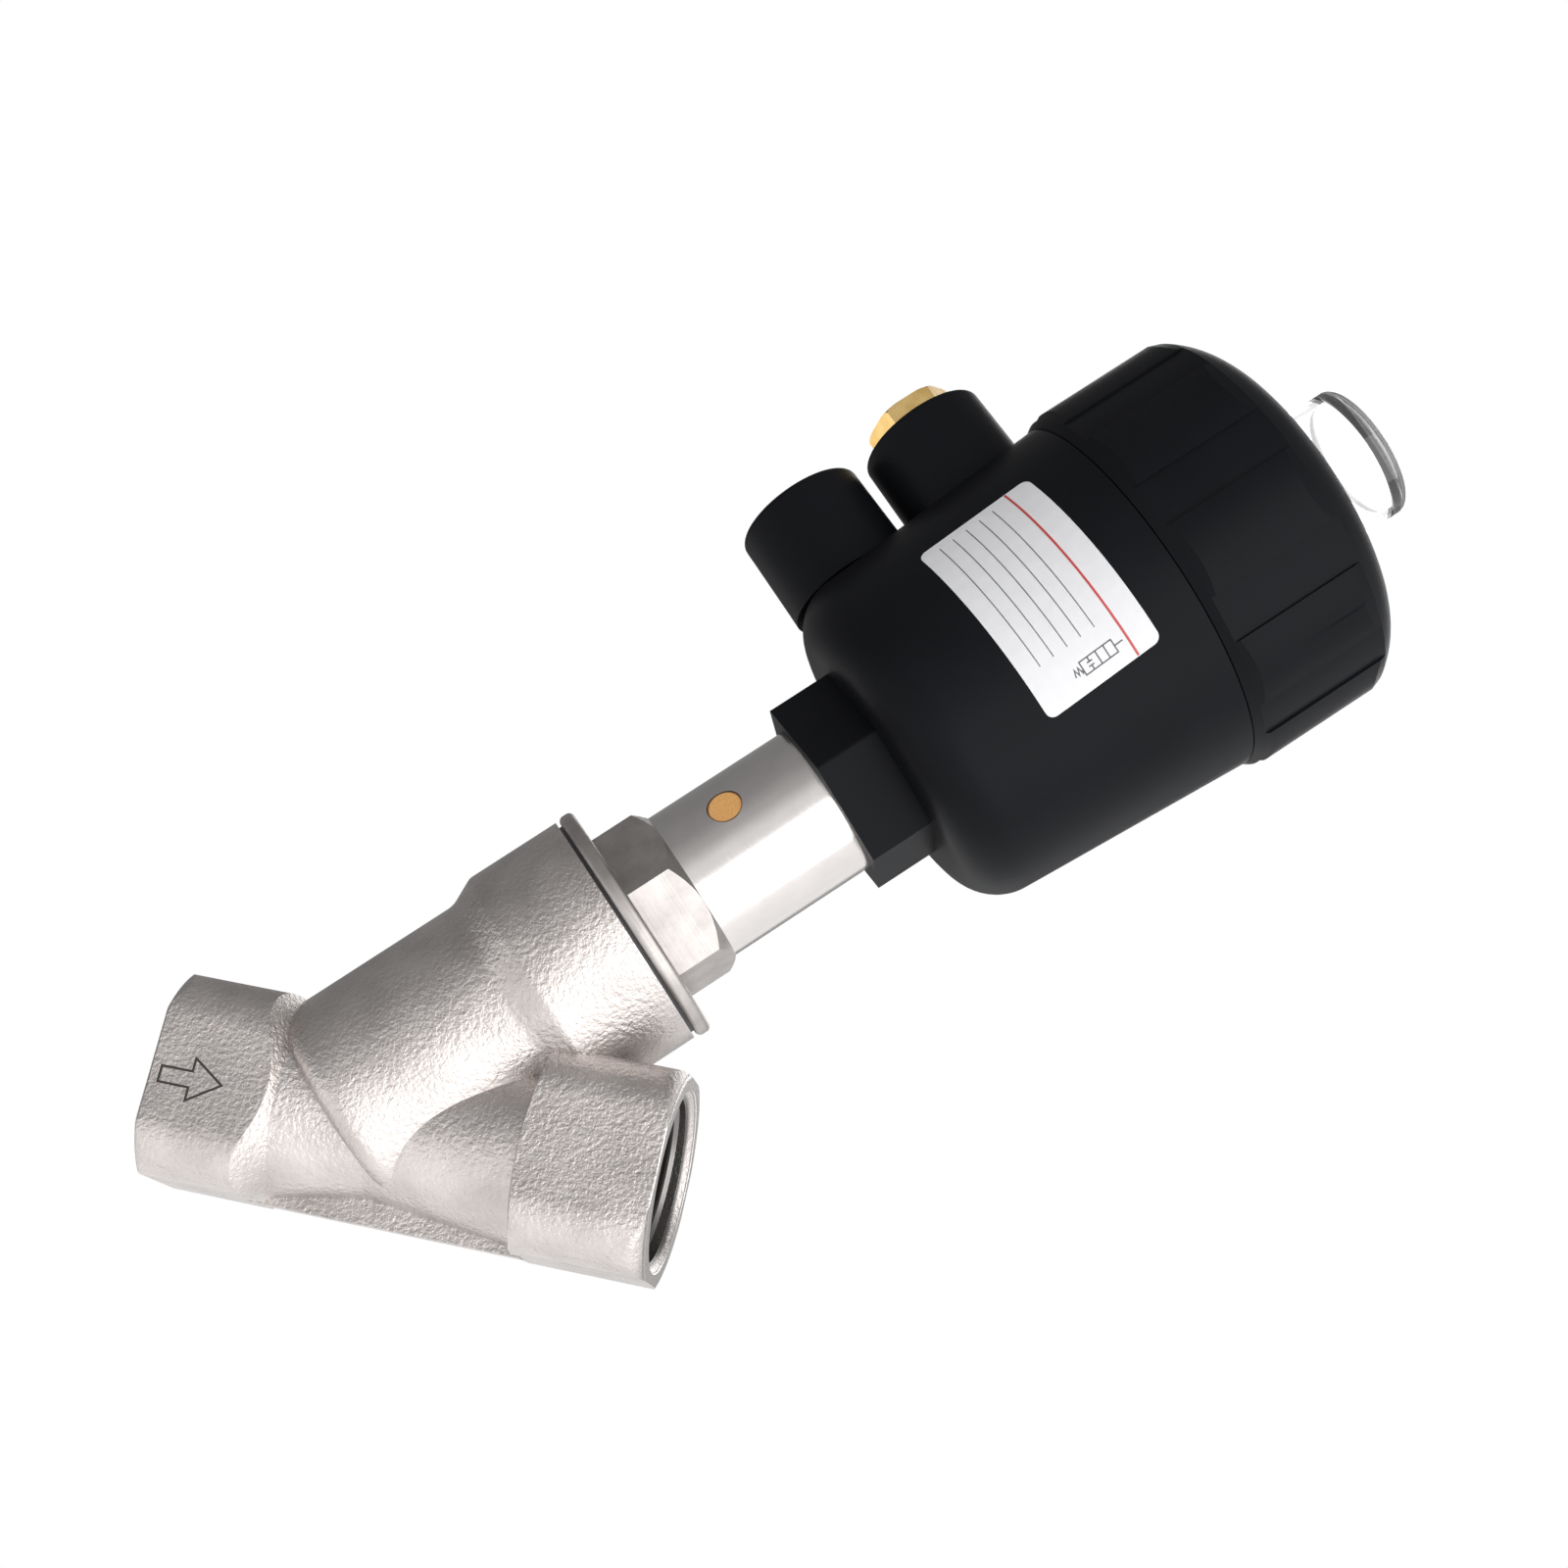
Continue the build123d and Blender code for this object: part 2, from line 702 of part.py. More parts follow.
with BuildPart() as actuator_housing:
    with BuildSketch(section) as shell_profile:
        with BuildLine():
            Polyline(
                (0, shoulder),
                (housing_foot_radius, shoulder),
                (housing_rim_radius, seam),
                (cap_thread_radius, seam),
                (cap_thread_radius, rim_end),
                (0, rim_end),
                close=True,
            )
        make_face()
        fillet(near(shell_profile, housing_foot_radius, shoulder), shoulder_round)
    revolve(axis=stem_axis)
    for station in (pilot_station, exhaust_station):
        with BuildSketch(port_plane(station)):
            Circle(boss_radius)
        extrude(amount=-(boss_height - boss_root), taper=-boss_draft)
    boss_ends = actuator_housing.faces().sort_by(Axis((0, 0, 0), port_side))[-2:]
    fillet(boss_ends.edges(), boss_edge_round)
    with BuildSketch(at_station(foot_start)) as foot_outline:
        RegularPolygon(foot_flats / 2, 6, major_radius=False, rotation=30)
        fillet(foot_outline.vertices(), foot_edge_round)
    extrude(amount=foot_length + floor_thickness / 2)
    with BuildSketch(section) as bore_profile:
        with BuildLine():
            Polyline(
                (0, floor),
                (piston_bore_radius, floor),
                (piston_bore_radius, rim_end),
                (0, rim_end),
                close=True,
            )
        make_face()
        fillet(near(bore_profile, piston_bore_radius, floor), bore_floor_round)
    revolve(axis=stem_axis, mode=Mode.SUBTRACT)
    with BuildSketch(section):
        with BuildLine():
            Polyline(
                (0, foot_start),
                (foot_bore, foot_start),
                (foot_bore, tube_shoulder + fitted_gap),
                (pilot_bore, tube_shoulder + fitted_gap),
                (pilot_bore, neck_groove_start),
                (neck_groove_radius, neck_groove_start),
                (neck_groove_radius, neck_groove_start + seal_groove_width),
                (pilot_bore, neck_groove_start + seal_groove_width),
                (pilot_bore, floor),
                (0, floor),
                close=True,
            )
        make_face()
    revolve(axis=stem_axis, mode=Mode.SUBTRACT)
    with BuildSketch(section):
        with BuildLine():
            groove_root = cap_thread_radius - seal_groove_depth
            Polyline(
                (groove_root, seam),
                (cap_thread_radius, seam),
                (cap_thread_radius, seam + seal_groove_width),
                (groove_root, seam + seal_groove_width),
                close=True,
            )
        make_face()
    revolve(axis=stem_axis, mode=Mode.SUBTRACT)
    for station in (pilot_station, exhaust_station):
        with BuildSketch(port_plane(station)):
            Circle(insert_radius)
        extrude(amount=-insert_length - insert_recess, mode=Mode.SUBTRACT)
        with BuildSketch(port_plane(station)):
            Circle(air_way_radius)
        extrude(amount=-(boss_height - piston_bore_radius / 2), mode=Mode.SUBTRACT)

neck_ring = o_ring(
    tube_pilot_radius + running_gap, neck_groove_radius, neck_groove_start + seal_groove_width / 2
)
cap_ring = o_ring(cap_thread_radius - seal_groove_depth, cap_thread_radius, seam + seal_groove_width / 2)


def thread_insert(station):
    """A brass thread insert, seated in a boss with its mouth just below the boss's end."""
    with BuildPart() as piece:
        with BuildSketch(port_plane(station).offset(-insert_recess)):
            Circle(insert_radius - running_gap)
            Circle(pilot_thread_radius, mode=Mode.SUBTRACT)
        extrude(amount=-insert_length + running_gap)
        mouth = piece.edges().filter_by(GeomType.CIRCLE).sort_by(Axis((0, 0, 0), port_side))[-2:]
        chamfer(mouth.sort_by(SortBy.RADIUS)[0], pilot_mouth_chamfer)
    return piece.part


pilot_port_insert = thread_insert(pilot_station)
exhaust_port_insert = thread_insert(exhaust_station)

with BuildPart() as breather_crown:
    with BuildSketch(port_plane(exhaust_station).offset(fitted_gap)):
        Circle(breather_flats / 2 / cos(radians(30)))
    extrude(amount=breather_head)
    fillet(breather_crown.edges().sort_by(Axis((0, 0, 0), port_side))[-1], breather_head_round)

with BuildPart() as breather_plug:
    with BuildSketch(port_plane(exhaust_station).offset(fitted_gap)):
        RegularPolygon(breather_flats / 2, 6, major_radius=False)
    extrude(amount=breather_head)
    add(breather_crown.part, mode=Mode.INTERSECT)
    with BuildSketch(port_plane(exhaust_station).offset(fitted_gap)):
        Circle(pilot_thread_radius - running_gap)
    extrude(amount=-breather_thread_length)
    with BuildSketch(port_plane(exhaust_station).offset(-breather_thread_length)):
        Circle(breather_bore_radius)
    extrude(amount=breather_thread_length + breather_head / 2, mode=Mode.SUBTRACT)

# ================================================================ actuator cap
cap_side_end = cap_start + cap_side_length
dome_start = cap_side_end + cap_shoulder_chamfer
dome_height = cap_top - dome_start
window_hole = window_radius + fitted_gap
lobe_half = radians(cap_lobe_angle / 2)
with BuildSketch() as cap_lobe:
    with Locations((cap_radius - cap_lobe_round, 0)):
        Circle(cap_lobe_round)
    with BuildLine():
        reach = 2 * cap_radius
        Polyline(
            (0, 0),
            (reach * cos(lobe_half), reach * sin(lobe_half)),
            (reach * cos(lobe_half), -reach * sin(lobe_half)),
            close=True,
        )
    make_face(mode=Mode.INTERSECT)

with BuildPart() as actuator_cap:
    with BuildSketch(at_station(cap_start)):
        Circle(cap_root_radius)
        with PolarLocations(0, cap_lobes, start_angle=cap_lobe_phase):
            add(cap_lobe.sketch)
    extrude(amount=cap_height)
    with BuildSketch(section):
        with BuildLine():
            brow, bend, crown = (
                (cap_root_radius * across, dome_start + dome_height * up)
                for across, up in (dome_brow, dome_bend, dome_crown)
            )
            Polyline(
                (cap_root_radius, dome_start),
                (cap_radius, cap_side_end),
                (cap_radius, cap_start + cap_skirt_chamfer),
                (cap_root_radius, cap_start + cap_skirt_chamfer / 2),
                (housing_rim_radius, cap_start),
                (window_hole, cap_start),
                (window_hole, cap_top),
            )
            ThreePointArc((cap_root_radius, dome_start), brow, bend)
            ThreePointArc(bend, crown, (window_hole, cap_top))
        make_face()
    revolve(axis=stem_axis, mode=Mode.INTERSECT)
    with BuildSketch(section):
        with BuildLine():
            Polyline(
                (0, cap_start),
                (cap_thread_radius + fitted_gap, cap_start),
                (cap_thread_radius + fitted_gap, rim_end + fitted_gap),
                (cap_cavity_radius, rim_end + fitted_gap),
                (cap_cavity_radius, spring_ledge),
                (window_pocket_radius, spring_ledge),
                (window_pocket_radius, window_ledge),
                (0, window_ledge),
                close=True,
            )
        make_face()
    revolve(axis=stem_axis, mode=Mode.SUBTRACT)

# ================================================================ sight window
with BuildPart() as indicator_window:
    with BuildSketch(section) as window_profile:
        with BuildLine():
            Polyline(
                (window_radius - window_wall, window_flange_start),
                (window_flange_radius, window_flange_start),
                (window_flange_radius, window_flange_top),
                (window_radius, window_flange_top),
                (window_radius, window_top),
                (0, window_top),
                (0, window_top - window_end),
                (window_radius - window_wall, window_top - window_end),
                close=True,
            )
        make_face()
        fillet(near(window_profile, window_radius, window_top), window_edge_round)
    revolve(axis=stem_axis)

window_ring = ring(
    window_radius + running_gap,
    window_radius + window_seal_gap,
    window_flange_top + running_gap,
    window_ledge - running_gap,
)

# ================================================================ springs
indicator_hole = indicator_head_radius + loose_gap
seat_rim_radius = window_pocket_radius - fitted_gap
spring_seat = turned(
    (indicator_hole, spring_top),
    (cap_cavity_radius - fitted_gap, spring_top),
    (cap_cavity_radius - fitted_gap, spring_ledge - fitted_gap),
    (seat_rim_radius, spring_ledge - fitted_gap),
    (seat_rim_radius, window_flange_start - fitted_gap),
    (seat_rim_radius - spring_seat_rim, window_flange_start - fitted_gap),
    (seat_rim_radius - spring_seat_rim, spring_ledge - fitted_gap),
    (indicator_hole, spring_ledge - fitted_gap),
)
spring_outer = coil_spring(
    outer_spring_radius, outer_spring_wire, piston_floor, spring_top, outer_spring_turns
)
spring_inner = coil_spring(
    inner_spring_radius, inner_spring_wire, piston_floor, spring_top, inner_spring_turns, left_hand=True
)

# ================================================================ stem and plug
pin_plane = Plane(origin=at_station(pin_station).origin, x_dir=lean, z_dir=(0, 1, 0))
with BuildPart() as stem:
    with BuildSketch(section):
        with BuildLine():
            Polyline(
                (0, stem_tail_start),
                (stem_tail_radius, stem_tail_start),
                (stem_tail_radius, stem_shoulder),
                (stem_radius, stem_shoulder),
                (stem_radius, piston_start),
                (stem_head_radius, piston_start),
                (stem_head_radius, stem_head_end),
                (0, stem_head_end),
                close=True,
            )
        make_face()
    revolve(axis=stem_axis)
    with BuildSketch(pin_plane):
        Circle(plug_pin_radius + running_gap)
    extrude(amount=plug_hub_radius, both=True, mode=Mode.SUBTRACT)

with BuildPart() as plug_holder:
    with BuildSketch(section):
        with BuildLine():
            Polyline(
                (stem_tail_radius + running_gap, seal_top),
                (seat_seal_radius + running_gap, seal_top),
                (seat_seal_radius + running_gap, seal_top - plug_skirt),
                (plug_radius, seal_top - plug_skirt),
                (plug_radius, stem_shoulder),
                (plug_hub_radius, stem_shoulder),
                (plug_hub_radius, plug_hub_end),
                (stem_radius + running_gap, plug_hub_end),
                (stem_radius + running_gap, stem_shoulder),
                (stem_tail_radius + running_gap, stem_shoulder),
                close=True,
            )
        make_face()
    revolve(axis=stem_axis)
    with BuildSketch(pin_plane):
        Circle(plug_pin_radius + running_gap)
    extrude(amount=plug_hub_radius, both=True, mode=Mode.SUBTRACT)

with BuildPart() as plug_pin:
    with BuildSketch(pin_plane):
        Circle(plug_pin_radius)
    extrude(amount=plug_hub_radius - fitted_gap, both=True)

seat_seal = ring(stem_tail_radius + running_gap, seat_seal_radius, seal_start, seal_top)
seal_washer = ring(stem_tail_radius + running_gap, seal_washer_radius, washer_start, seal_start)


def hex_nut(flats, bore, start, end):
    """A plain hexagon nut between two stations."""
    with BuildPart() as piece:
        with BuildSketch(at_station(start)):
            RegularPolygon(flats / 2, 6, major_radius=False)
            Circle(bore, mode=Mode.SUBTRACT)
        extrude(amount=end - start)
    return piece.part


plug_nut = hex_nut(plug_nut_flats, stem_tail_radius + running_gap, plug_nut_start, washer_start)

# ================================================================ piston and indicator
lip_seal_start = piston_disc_start + land_length
guide_ring_start = lip_seal_start + lip_seal_length + land_length
head_bore = stem_head_radius + running_gap
piston = turned(
    (head_bore, piston_start),
    (piston_hub_radius, piston_start),
    (piston_hub_radius, piston_disc_start),
    (piston_radius, piston_disc_start),
    (piston_radius, lip_seal_start),
    (piston_radius - lip_seal_depth, lip_seal_start),
    (piston_radius - lip_seal_depth, lip_seal_start + lip_seal_length),
    (piston_radius, lip_seal_start + lip_seal_length),
    (piston_radius, guide_ring_start),
    (piston_radius - guide_ring_depth, guide_ring_start),
    (piston_radius - guide_ring_depth, guide_ring_start + guide_ring_length),
    (piston_radius, guide_ring_start + guide_ring_length),
    (piston_radius, piston_top),
    (piston_radius - piston_rim, piston_top),
    (piston_radius - piston_rim, piston_floor),
    (head_bore, piston_floor),
)
seal_reach = piston_bore_radius - running_gap
lip_seal_root = piston_radius - lip_seal_depth + running_gap
piston_lip_seal = turned(
    (lip_seal_root, lip_seal_start + running_gap),
    (piston_radius - running_gap, lip_seal_start + running_gap),
    (seal_reach, lip_seal_start + lip_seal_length / 4),
    (seal_reach, lip_seal_start + lip_seal_length - running_gap),
    (lip_seal_root, lip_seal_start + lip_seal_length - running_gap),
)
piston_guide_ring = ring(
    piston_radius - guide_ring_depth + running_gap,
    seal_reach,
    guide_ring_start + running_gap,
    guide_ring_start + guide_ring_length - running_gap,
)
piston_washer = ring(head_bore, piston_washer_radius, piston_floor, piston_washer_top)
piston_nut = hex_nut(piston_nut_flats, head_bore, piston_washer_top, piston_nut_top)

indicator_socket_end = indicator_start + indicator_socket_length
with BuildPart() as position_indicator:
    with BuildSketch(section) as indicator_profile:
        with BuildLine():
            Polyline(
                (0, stem_head_end + fitted_gap),
                (head_bore, stem_head_end + fitted_gap),
                (head_bore, indicator_start),
                (indicator_socket_radius, indicator_start),
                (indicator_socket_radius, indicator_socket_end),
                (indicator_rod_radius, indicator_socket_end),
                (indicator_rod_radius, indicator_top - indicator_head_length),
                (indicator_head_radius, indicator_top - indicator_head_length),
                (indicator_head_radius, indicator_top),
                (0, indicator_top),
                close=True,
            )
        make_face()
        fillet(near(indicator_profile, indicator_head_radius, indicator_top), window_edge_round)
    revolve(axis=stem_axis)

# ================================================================ export
pieces = {
    "valve_body": valve_body.part,
    "body_gasket": body_gasket,
    "bonnet": bonnet.part,
    "stem_wiper": stem_wiper,
    "stem_guide_bush": stem_guide_bush,
    "packing_spring": packing_spring,
    "packing_support_ring": packing_support_ring,
    "packing_rings": packing_rings.part,
    "packing_gland": packing_gland,
    "neck_tube": neck_tube.part,
    "vent_disc": vent_disc.part,
    "thrust_washer": thrust_washer,
    "tube_clip": tube_clip.part,
    "rod_guide": rod_guide,
    "rod_guide_ring": rod_guide_ring,
    "rod_seal": rod_seal,
    "actuator_housing": actuator_housing.part,
    "neck_ring": neck_ring,
    "cap_ring": cap_ring,
    "pilot_port_insert": pilot_port_insert,
    "exhaust_port_insert": exhaust_port_insert,
    "breather_plug": breather_plug.part,
    "actuator_cap": actuator_cap.part,
    "indicator_window": indicator_window.part,
    "window_ring": window_ring,
    "spring_seat": spring_seat,
    "spring_outer": spring_outer,
    "spring_inner": spring_inner,
    "stem": stem.part,
    "plug_holder": plug_holder.part,
    "plug_pin": plug_pin.part,
    "seat_seal": seat_seal,
    "seal_washer": seal_washer,
    "plug_nut": plug_nut,
    "piston": piston,
    "piston_lip_seal": piston_lip_seal,
    "piston_guide_ring": piston_guide_ring,
    "piston_washer": piston_washer,
    "piston_nut": piston_nut,
    "position_indicator": position_indicator.part,
}
for name, piece in pieces.items():
    piece.label = name
    export_step(piece, f"parts/{name}.step")
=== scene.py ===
"""The looks of the angle seat valve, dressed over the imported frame.

Sizes are in millimetres, turned into metres with MM where a mesh is made; only the floor and the
lamps are given in metres. Places on the stem axis are given as a station, the distance from where
that axis crosses the pipe axis, and an angle about it, from the side that carries the air ports (0)
towards -Y (90).
"""

import json
from math import cos, degrees, pi, radians, sin

import bpy
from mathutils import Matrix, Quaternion, Vector
from mathutils.bvhtree import BVHTree


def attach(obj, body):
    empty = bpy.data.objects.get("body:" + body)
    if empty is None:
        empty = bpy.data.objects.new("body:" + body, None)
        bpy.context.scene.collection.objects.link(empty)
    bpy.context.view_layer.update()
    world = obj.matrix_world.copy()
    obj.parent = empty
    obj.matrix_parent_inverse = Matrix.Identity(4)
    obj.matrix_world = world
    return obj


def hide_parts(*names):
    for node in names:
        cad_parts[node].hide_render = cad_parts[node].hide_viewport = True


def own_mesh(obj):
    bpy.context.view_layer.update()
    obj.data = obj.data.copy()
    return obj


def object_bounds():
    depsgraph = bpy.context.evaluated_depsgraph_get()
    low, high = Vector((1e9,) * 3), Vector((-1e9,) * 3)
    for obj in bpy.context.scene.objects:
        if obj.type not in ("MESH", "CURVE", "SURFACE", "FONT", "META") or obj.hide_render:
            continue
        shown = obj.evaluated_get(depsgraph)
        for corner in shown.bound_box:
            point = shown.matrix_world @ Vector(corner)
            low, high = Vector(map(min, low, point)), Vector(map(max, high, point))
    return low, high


MM = 0.001
SHARP_FROM = 35  # degrees between two faces from which their edge shows
PRINT_LIFT = 0.03  # how far a printed line stands off what it is printed on
LABEL_LIFT = 0.09  # the label's outer face above the housing

# The casting: where it is turned or faced.
BORE_EDGE = 12.7  # radius about the pipe axis inside which its two ends are bored
BORE_INNER_END = 21  # how near its middle the bores reach
BODY_MIDDLE = 36.2  # half way between its two faced ends
FACED_END = 37.5  # from there to each end

VENT_EDGE = 2.6  # radius from which the vent disc is painted all dark, as shade at its edge
WINDOW_REFLECTION = (181.8, 184.9, 11.2)  # first station, last station and radius of the window's painted reflection, a grey ring round its edge

# name, mean radius, turns and hand of each closing spring
SPRINGS = (("spring_outer", 19.2, 6, "right"), ("spring_inner", 13.0, 8, "left"))

# mount, pitch, unthreaded length at the inner end, finish, body and slot of each female thread
THREADS = (
    ("inlet_port", 1.814, 0.0, "shaded_thread_steel", "valve", "machined_stainless"),
    ("outlet_port", 1.814, 0.0, "shaded_thread_steel", "valve", "machined_stainless"),
    ("pilot_port", 1.337, 1.0, "machined_brass", "actuator", "machined_brass"),
)

# name, place from the valve's centre in metres, side in metres and power of each lamp
LAMPS = (
    ("key", (0.55, -0.48, -0.18), 0.95, 5.4),
    ("back", (0.15, 0.7, 0.4), 0.6, 2.2),
)
FLOOR_GLOW = 0.75  # added where the camera or a shiny face sees the floor, so that it shows white
FILL = 0.45  # the surround's even light on dull faces
DARK_SIDE = Vector((-0.68, 0.42, 0.6))  # where the surround is darkest in shiny faces
# The surround in shiny faces: (place from opposite the dark side to the dark side, brightness).
MIRRORED = ((0.0, 1.0), (0.3, 1.0), (0.46, 0.56), (0.7, 0.34), (1.0, 0.26))

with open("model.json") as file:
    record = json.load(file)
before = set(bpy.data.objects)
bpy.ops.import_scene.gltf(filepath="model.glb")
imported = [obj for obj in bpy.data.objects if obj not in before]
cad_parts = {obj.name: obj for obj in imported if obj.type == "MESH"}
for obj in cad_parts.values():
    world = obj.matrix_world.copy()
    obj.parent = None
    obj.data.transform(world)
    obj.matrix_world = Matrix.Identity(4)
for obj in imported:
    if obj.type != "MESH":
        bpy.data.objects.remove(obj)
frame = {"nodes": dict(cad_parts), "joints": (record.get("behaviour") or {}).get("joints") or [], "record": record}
cad_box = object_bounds()
nodes = frame["nodes"]
swivel = next(j for j in frame["joints"] if j["name"] == "actuator_swivel")

crossing = Vector(swivel["pos_m"])
lean = Vector(swivel["axis"]).normalized()
facing = Vector((0, -1, 0))
port_side = facing.cross(lean)


# ---------------------------------------------------------------- places
def outward(angle):
    """The direction away from the stem axis at an angle about it."""
    return port_side * cos(radians(angle)) + facing * sin(radians(angle))


def on_stem(station, radius, angle):
    """The place at a station, radius and angle about the stem axis, in metres."""
    return crossing + lean * (station * MM) + outward(angle) * (radius * MM)


def span(node):
    """(first station, last station, largest radius) of a CAD node, in mm."""
    offsets = [v.co - crossing for v in nodes[node].data.vertices]
    stations = [o.dot(lean) / MM for o in offsets]
    reach = max((o - lean * o.dot(lean)).length for o in offsets)
    return min(stations), max(stations), reach / MM


def surface(node):
    """A search tree of a CAD node's surface, for laying things on it."""
    mesh = nodes[node].data
    return BVHTree.FromPolygons([v.co for v in mesh.vertices], [p.vertices for p in mesh.polygons])


# ---------------------------------------------------------------- meshes
def new_piece(name, vertices, faces, material, body, slot, smooth=True):
    """A mesh piece that rides on a CAD body."""
    mesh = bpy.data.meshes.new(name)
    mesh.from_pydata([tuple(v) for v in vertices], [], faces)
    for polygon in mesh.polygons:
        polygon.use_smooth = smooth
    mesh.set_sharp_from_angle(angle=radians(SHARP_FROM))
    mesh.materials.append(material)
    piece = bpy.data.objects.new(name, mesh)
    bpy.context.scene.collection.objects.link(piece)
    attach(piece, body)
    return piece


def tube_along(points, sides_of):
    """(vertices, faces) of a closed solid whose rings are given by sides_of(index, point)."""
    vertices = []
    faces = []
    for index, point in enumerate(points):
        vertices += sides_of(index, point)
    count = len(vertices) // len(points)
    for i in range(len(points) - 1):
        for k in range(count):
            here = i * count + k
            beside = i * count + (k + 1) % count
            faces.append((here, beside, beside + count, here + count))
    faces.append(tuple(reversed(range(count))))
    faces.append(tuple(range(len(vertices) - count, len(vertices))))
    return vertices, faces


def resampled(path, step, closed):
    """The points of a flat path, with its long runs cut into steps."""
    corners = [Vector(corner) for corner in path]
    ends = corners[1:] + corners[:1] if closed else corners[1:]
    points = []
    for start, end in zip(corners, ends):
        pieces = max(1, round((end - start).length / step))
        points += [start.lerp(end, i / pieces) for i in range(pieces)]
    if not closed:
        points.append(corners[-1])
    return points


def printed_lines(name, paths, width, lay, foot, top, material, body, slot):
    """Thin raised lines along flat paths of mm points, laid on a surface by lay(u, v, lift).

    A path is (points, closed). Each line is a closed solid from lift foot to lift top.
    """
    step = 0.8
    least_cosine = 0.35  # keeps a sharp corner's outer point near
    vertices = []
    faces = []
    for path, closed in paths:
        points = resampled(path, step, closed)
        count = len(points)
        first = len(vertices)
        for i, point in enumerate(points):
            before = points[i - 1] if closed or i else point
            after = points[(i + 1) % count] if closed or i < count - 1 else point
            arriving = (point - before).normalized() if before != point else (after - point).normalized()
            leaving = (after - point).normalized() if after != point else arriving
            mean = (arriving + leaving).normalized()
            reach = width / 2 / max(least_cosine, mean.dot(leaving))
            side = Vector((-mean.y, mean.x)) * reach
            for offset, lift_here in ((side, foot), (side, top), (-side, top), (-side, foot)):
                vertices.append(lay(point.x + offset.x, point.y + offset.y, lift_here))
        for i in range(count if closed else count - 1):
            here = first + 4 * i
            there = first + 4 * ((i + 1) % count)
            faces += [(here + k, here + (k + 1) % 4, there + (k + 1) % 4, there + k) for k in range(4)]
        if not closed:
            last = first + 4 * (count - 1)
            faces.append((first + 3, first + 2, first + 1, first))
            faces.append((last, last + 1, last + 2, last + 3))
    return new_piece(name, vertices, faces, material, body, slot)


def coil(name, radius, wire, start, end, turns, hand, material, slot):
    """A coil spring between two stations, of a mean radius and a wire diameter."""
    steps_per_turn = 48
    wire_sides = 12
    steps = int(turns * steps_per_turn)
    sense = -1 if hand == "left" else 1
    rise = end - start - wire

    def sides(index, _):
        turn = index / steps_per_turn
        centre = on_stem(start + wire / 2 + rise * index / steps, radius, sense * 360 * turn)
        out = outward(sense * 360 * turn)
        ring = []
        for k in range(wire_sides):
            spin = 2 * pi * k / wire_sides
            ring.append(centre + (out * cos(spin) + lean * sin(spin) * sense) * (wire / 2 * MM))
        return ring

    vertices, faces = tube_along(range(steps + 1), sides)
    return new_piece(name, vertices, faces, material, "actuator", slot)


def thread(name, origin, axis, radius, pitch, length, material, body, slot):
    """The ridge of a female thread, wound about an axis inside a bore of the minor radius.

    The bore stays open enough to read as threaded: the ridge stands less deep than a real one.
    """
    depth = 0.27 * pitch
    half_foot = 0.46 * pitch
    half_crest = 0.1 * pitch
    sunk = 0.02  # how far the foot reaches into the bore's wall
    steps_per_turn = 60
    fading_steps = 20  # over which the ridge grows at each end
    steps = int((length - pitch) / pitch * steps_per_turn)
    along = Vector(axis).normalized()
    side = along.orthogonal().normalized()
    across = along.cross(side)

    def sides(index, _):
        turn = index / steps_per_turn
        out = side * cos(2 * pi * turn) + across * sin(2 * pi * turn)
        centre = origin + along * ((pitch / 2 + turn * pitch) * MM)
        grown = min(1.0, index / fading_steps, (steps - index) / fading_steps)
        foot = (radius + sunk) * MM
        top = (radius - depth * grown) * MM
        return [
            centre + out * foot - along * (half_foot * MM),
            centre + out * top - along * (half_crest * MM),
            centre + out * top + along * (half_crest * MM),
            centre + out * foot + along * (half_foot * MM),
        ]

    vertices, faces = tube_along(range(steps + 1), sides)
    return new_piece(name, vertices, faces, material, body, slot, smooth=False)


# ---------------------------------------------------------------- shader building
def shader(name):
    """(material, its node tree, its principled shader)."""
    material = bpy.data.materials.new(name)
    material.use_nodes = True
    tree = material.node_tree
    return material, tree, tree.nodes["Principled BSDF"]


def coordinates(tree):
    """Object coordinates, which are the frame's own."""
    return tree.nodes.new("ShaderNodeTexCoord").outputs["Object"]


def noise(tree, vector, size, detail=3.0, roughness=0.5):
    """Noise whose blobs are about size mm across."""
    node = tree.nodes.new("ShaderNodeTexNoise")
    node.inputs["Scale"].default_value = 1 / (size * MM)
    node.inputs["Detail"].default_value = detail
    node.inputs["Roughness"].default_value = roughness
    tree.links.new(vector, node.inputs["Vector"])
    return node.outputs["Fac"]


def ramp(tree, value, *stops):
    """A colour ramp of (place, colour) stops; a colour may be one grey number."""
    node = tree.nodes.new("ShaderNodeValToRGB")
    elements = node.color_ramp.elements
    while len(elements) < len(stops):
        elements.new(0.5)
    for element, (place, colour) in zip(elements, stops):
        element.position = place
        rgb = (colour, colour, colour) if isinstance(colour, (int, float)) else colour
        element.color = (*rgb, 1)
    tree.links.new(value, node.inputs["Fac"])
    return node.outputs["Color"]


def mapped(tree, value, from_low, from_high, to_low, to_high):
    """A value taken from one range to another and held at its ends."""
    node = tree.nodes.new("ShaderNodeMapRange")
    sockets = ("From Min", "From Max", "To Min", "To Max")
    for socket, bound in zip(sockets, (from_low, from_high, to_low, to_high)):
        node.inputs[socket].default_value = bound
    tree.links.new(value, node.inputs["Value"])
    return node.outputs["Result"]


def spread(tree, value, low, high):
    """A 0 to 1 value stretched to run from low to high."""
    return mapped(tree, value, 0, 1, low, high)


def passed(tree, value, start, end):
    """0 up to start mm and 1 from end mm, or the other way round where end is the smaller."""
    return mapped(tree, value, start * MM, end * MM, 0, 1)


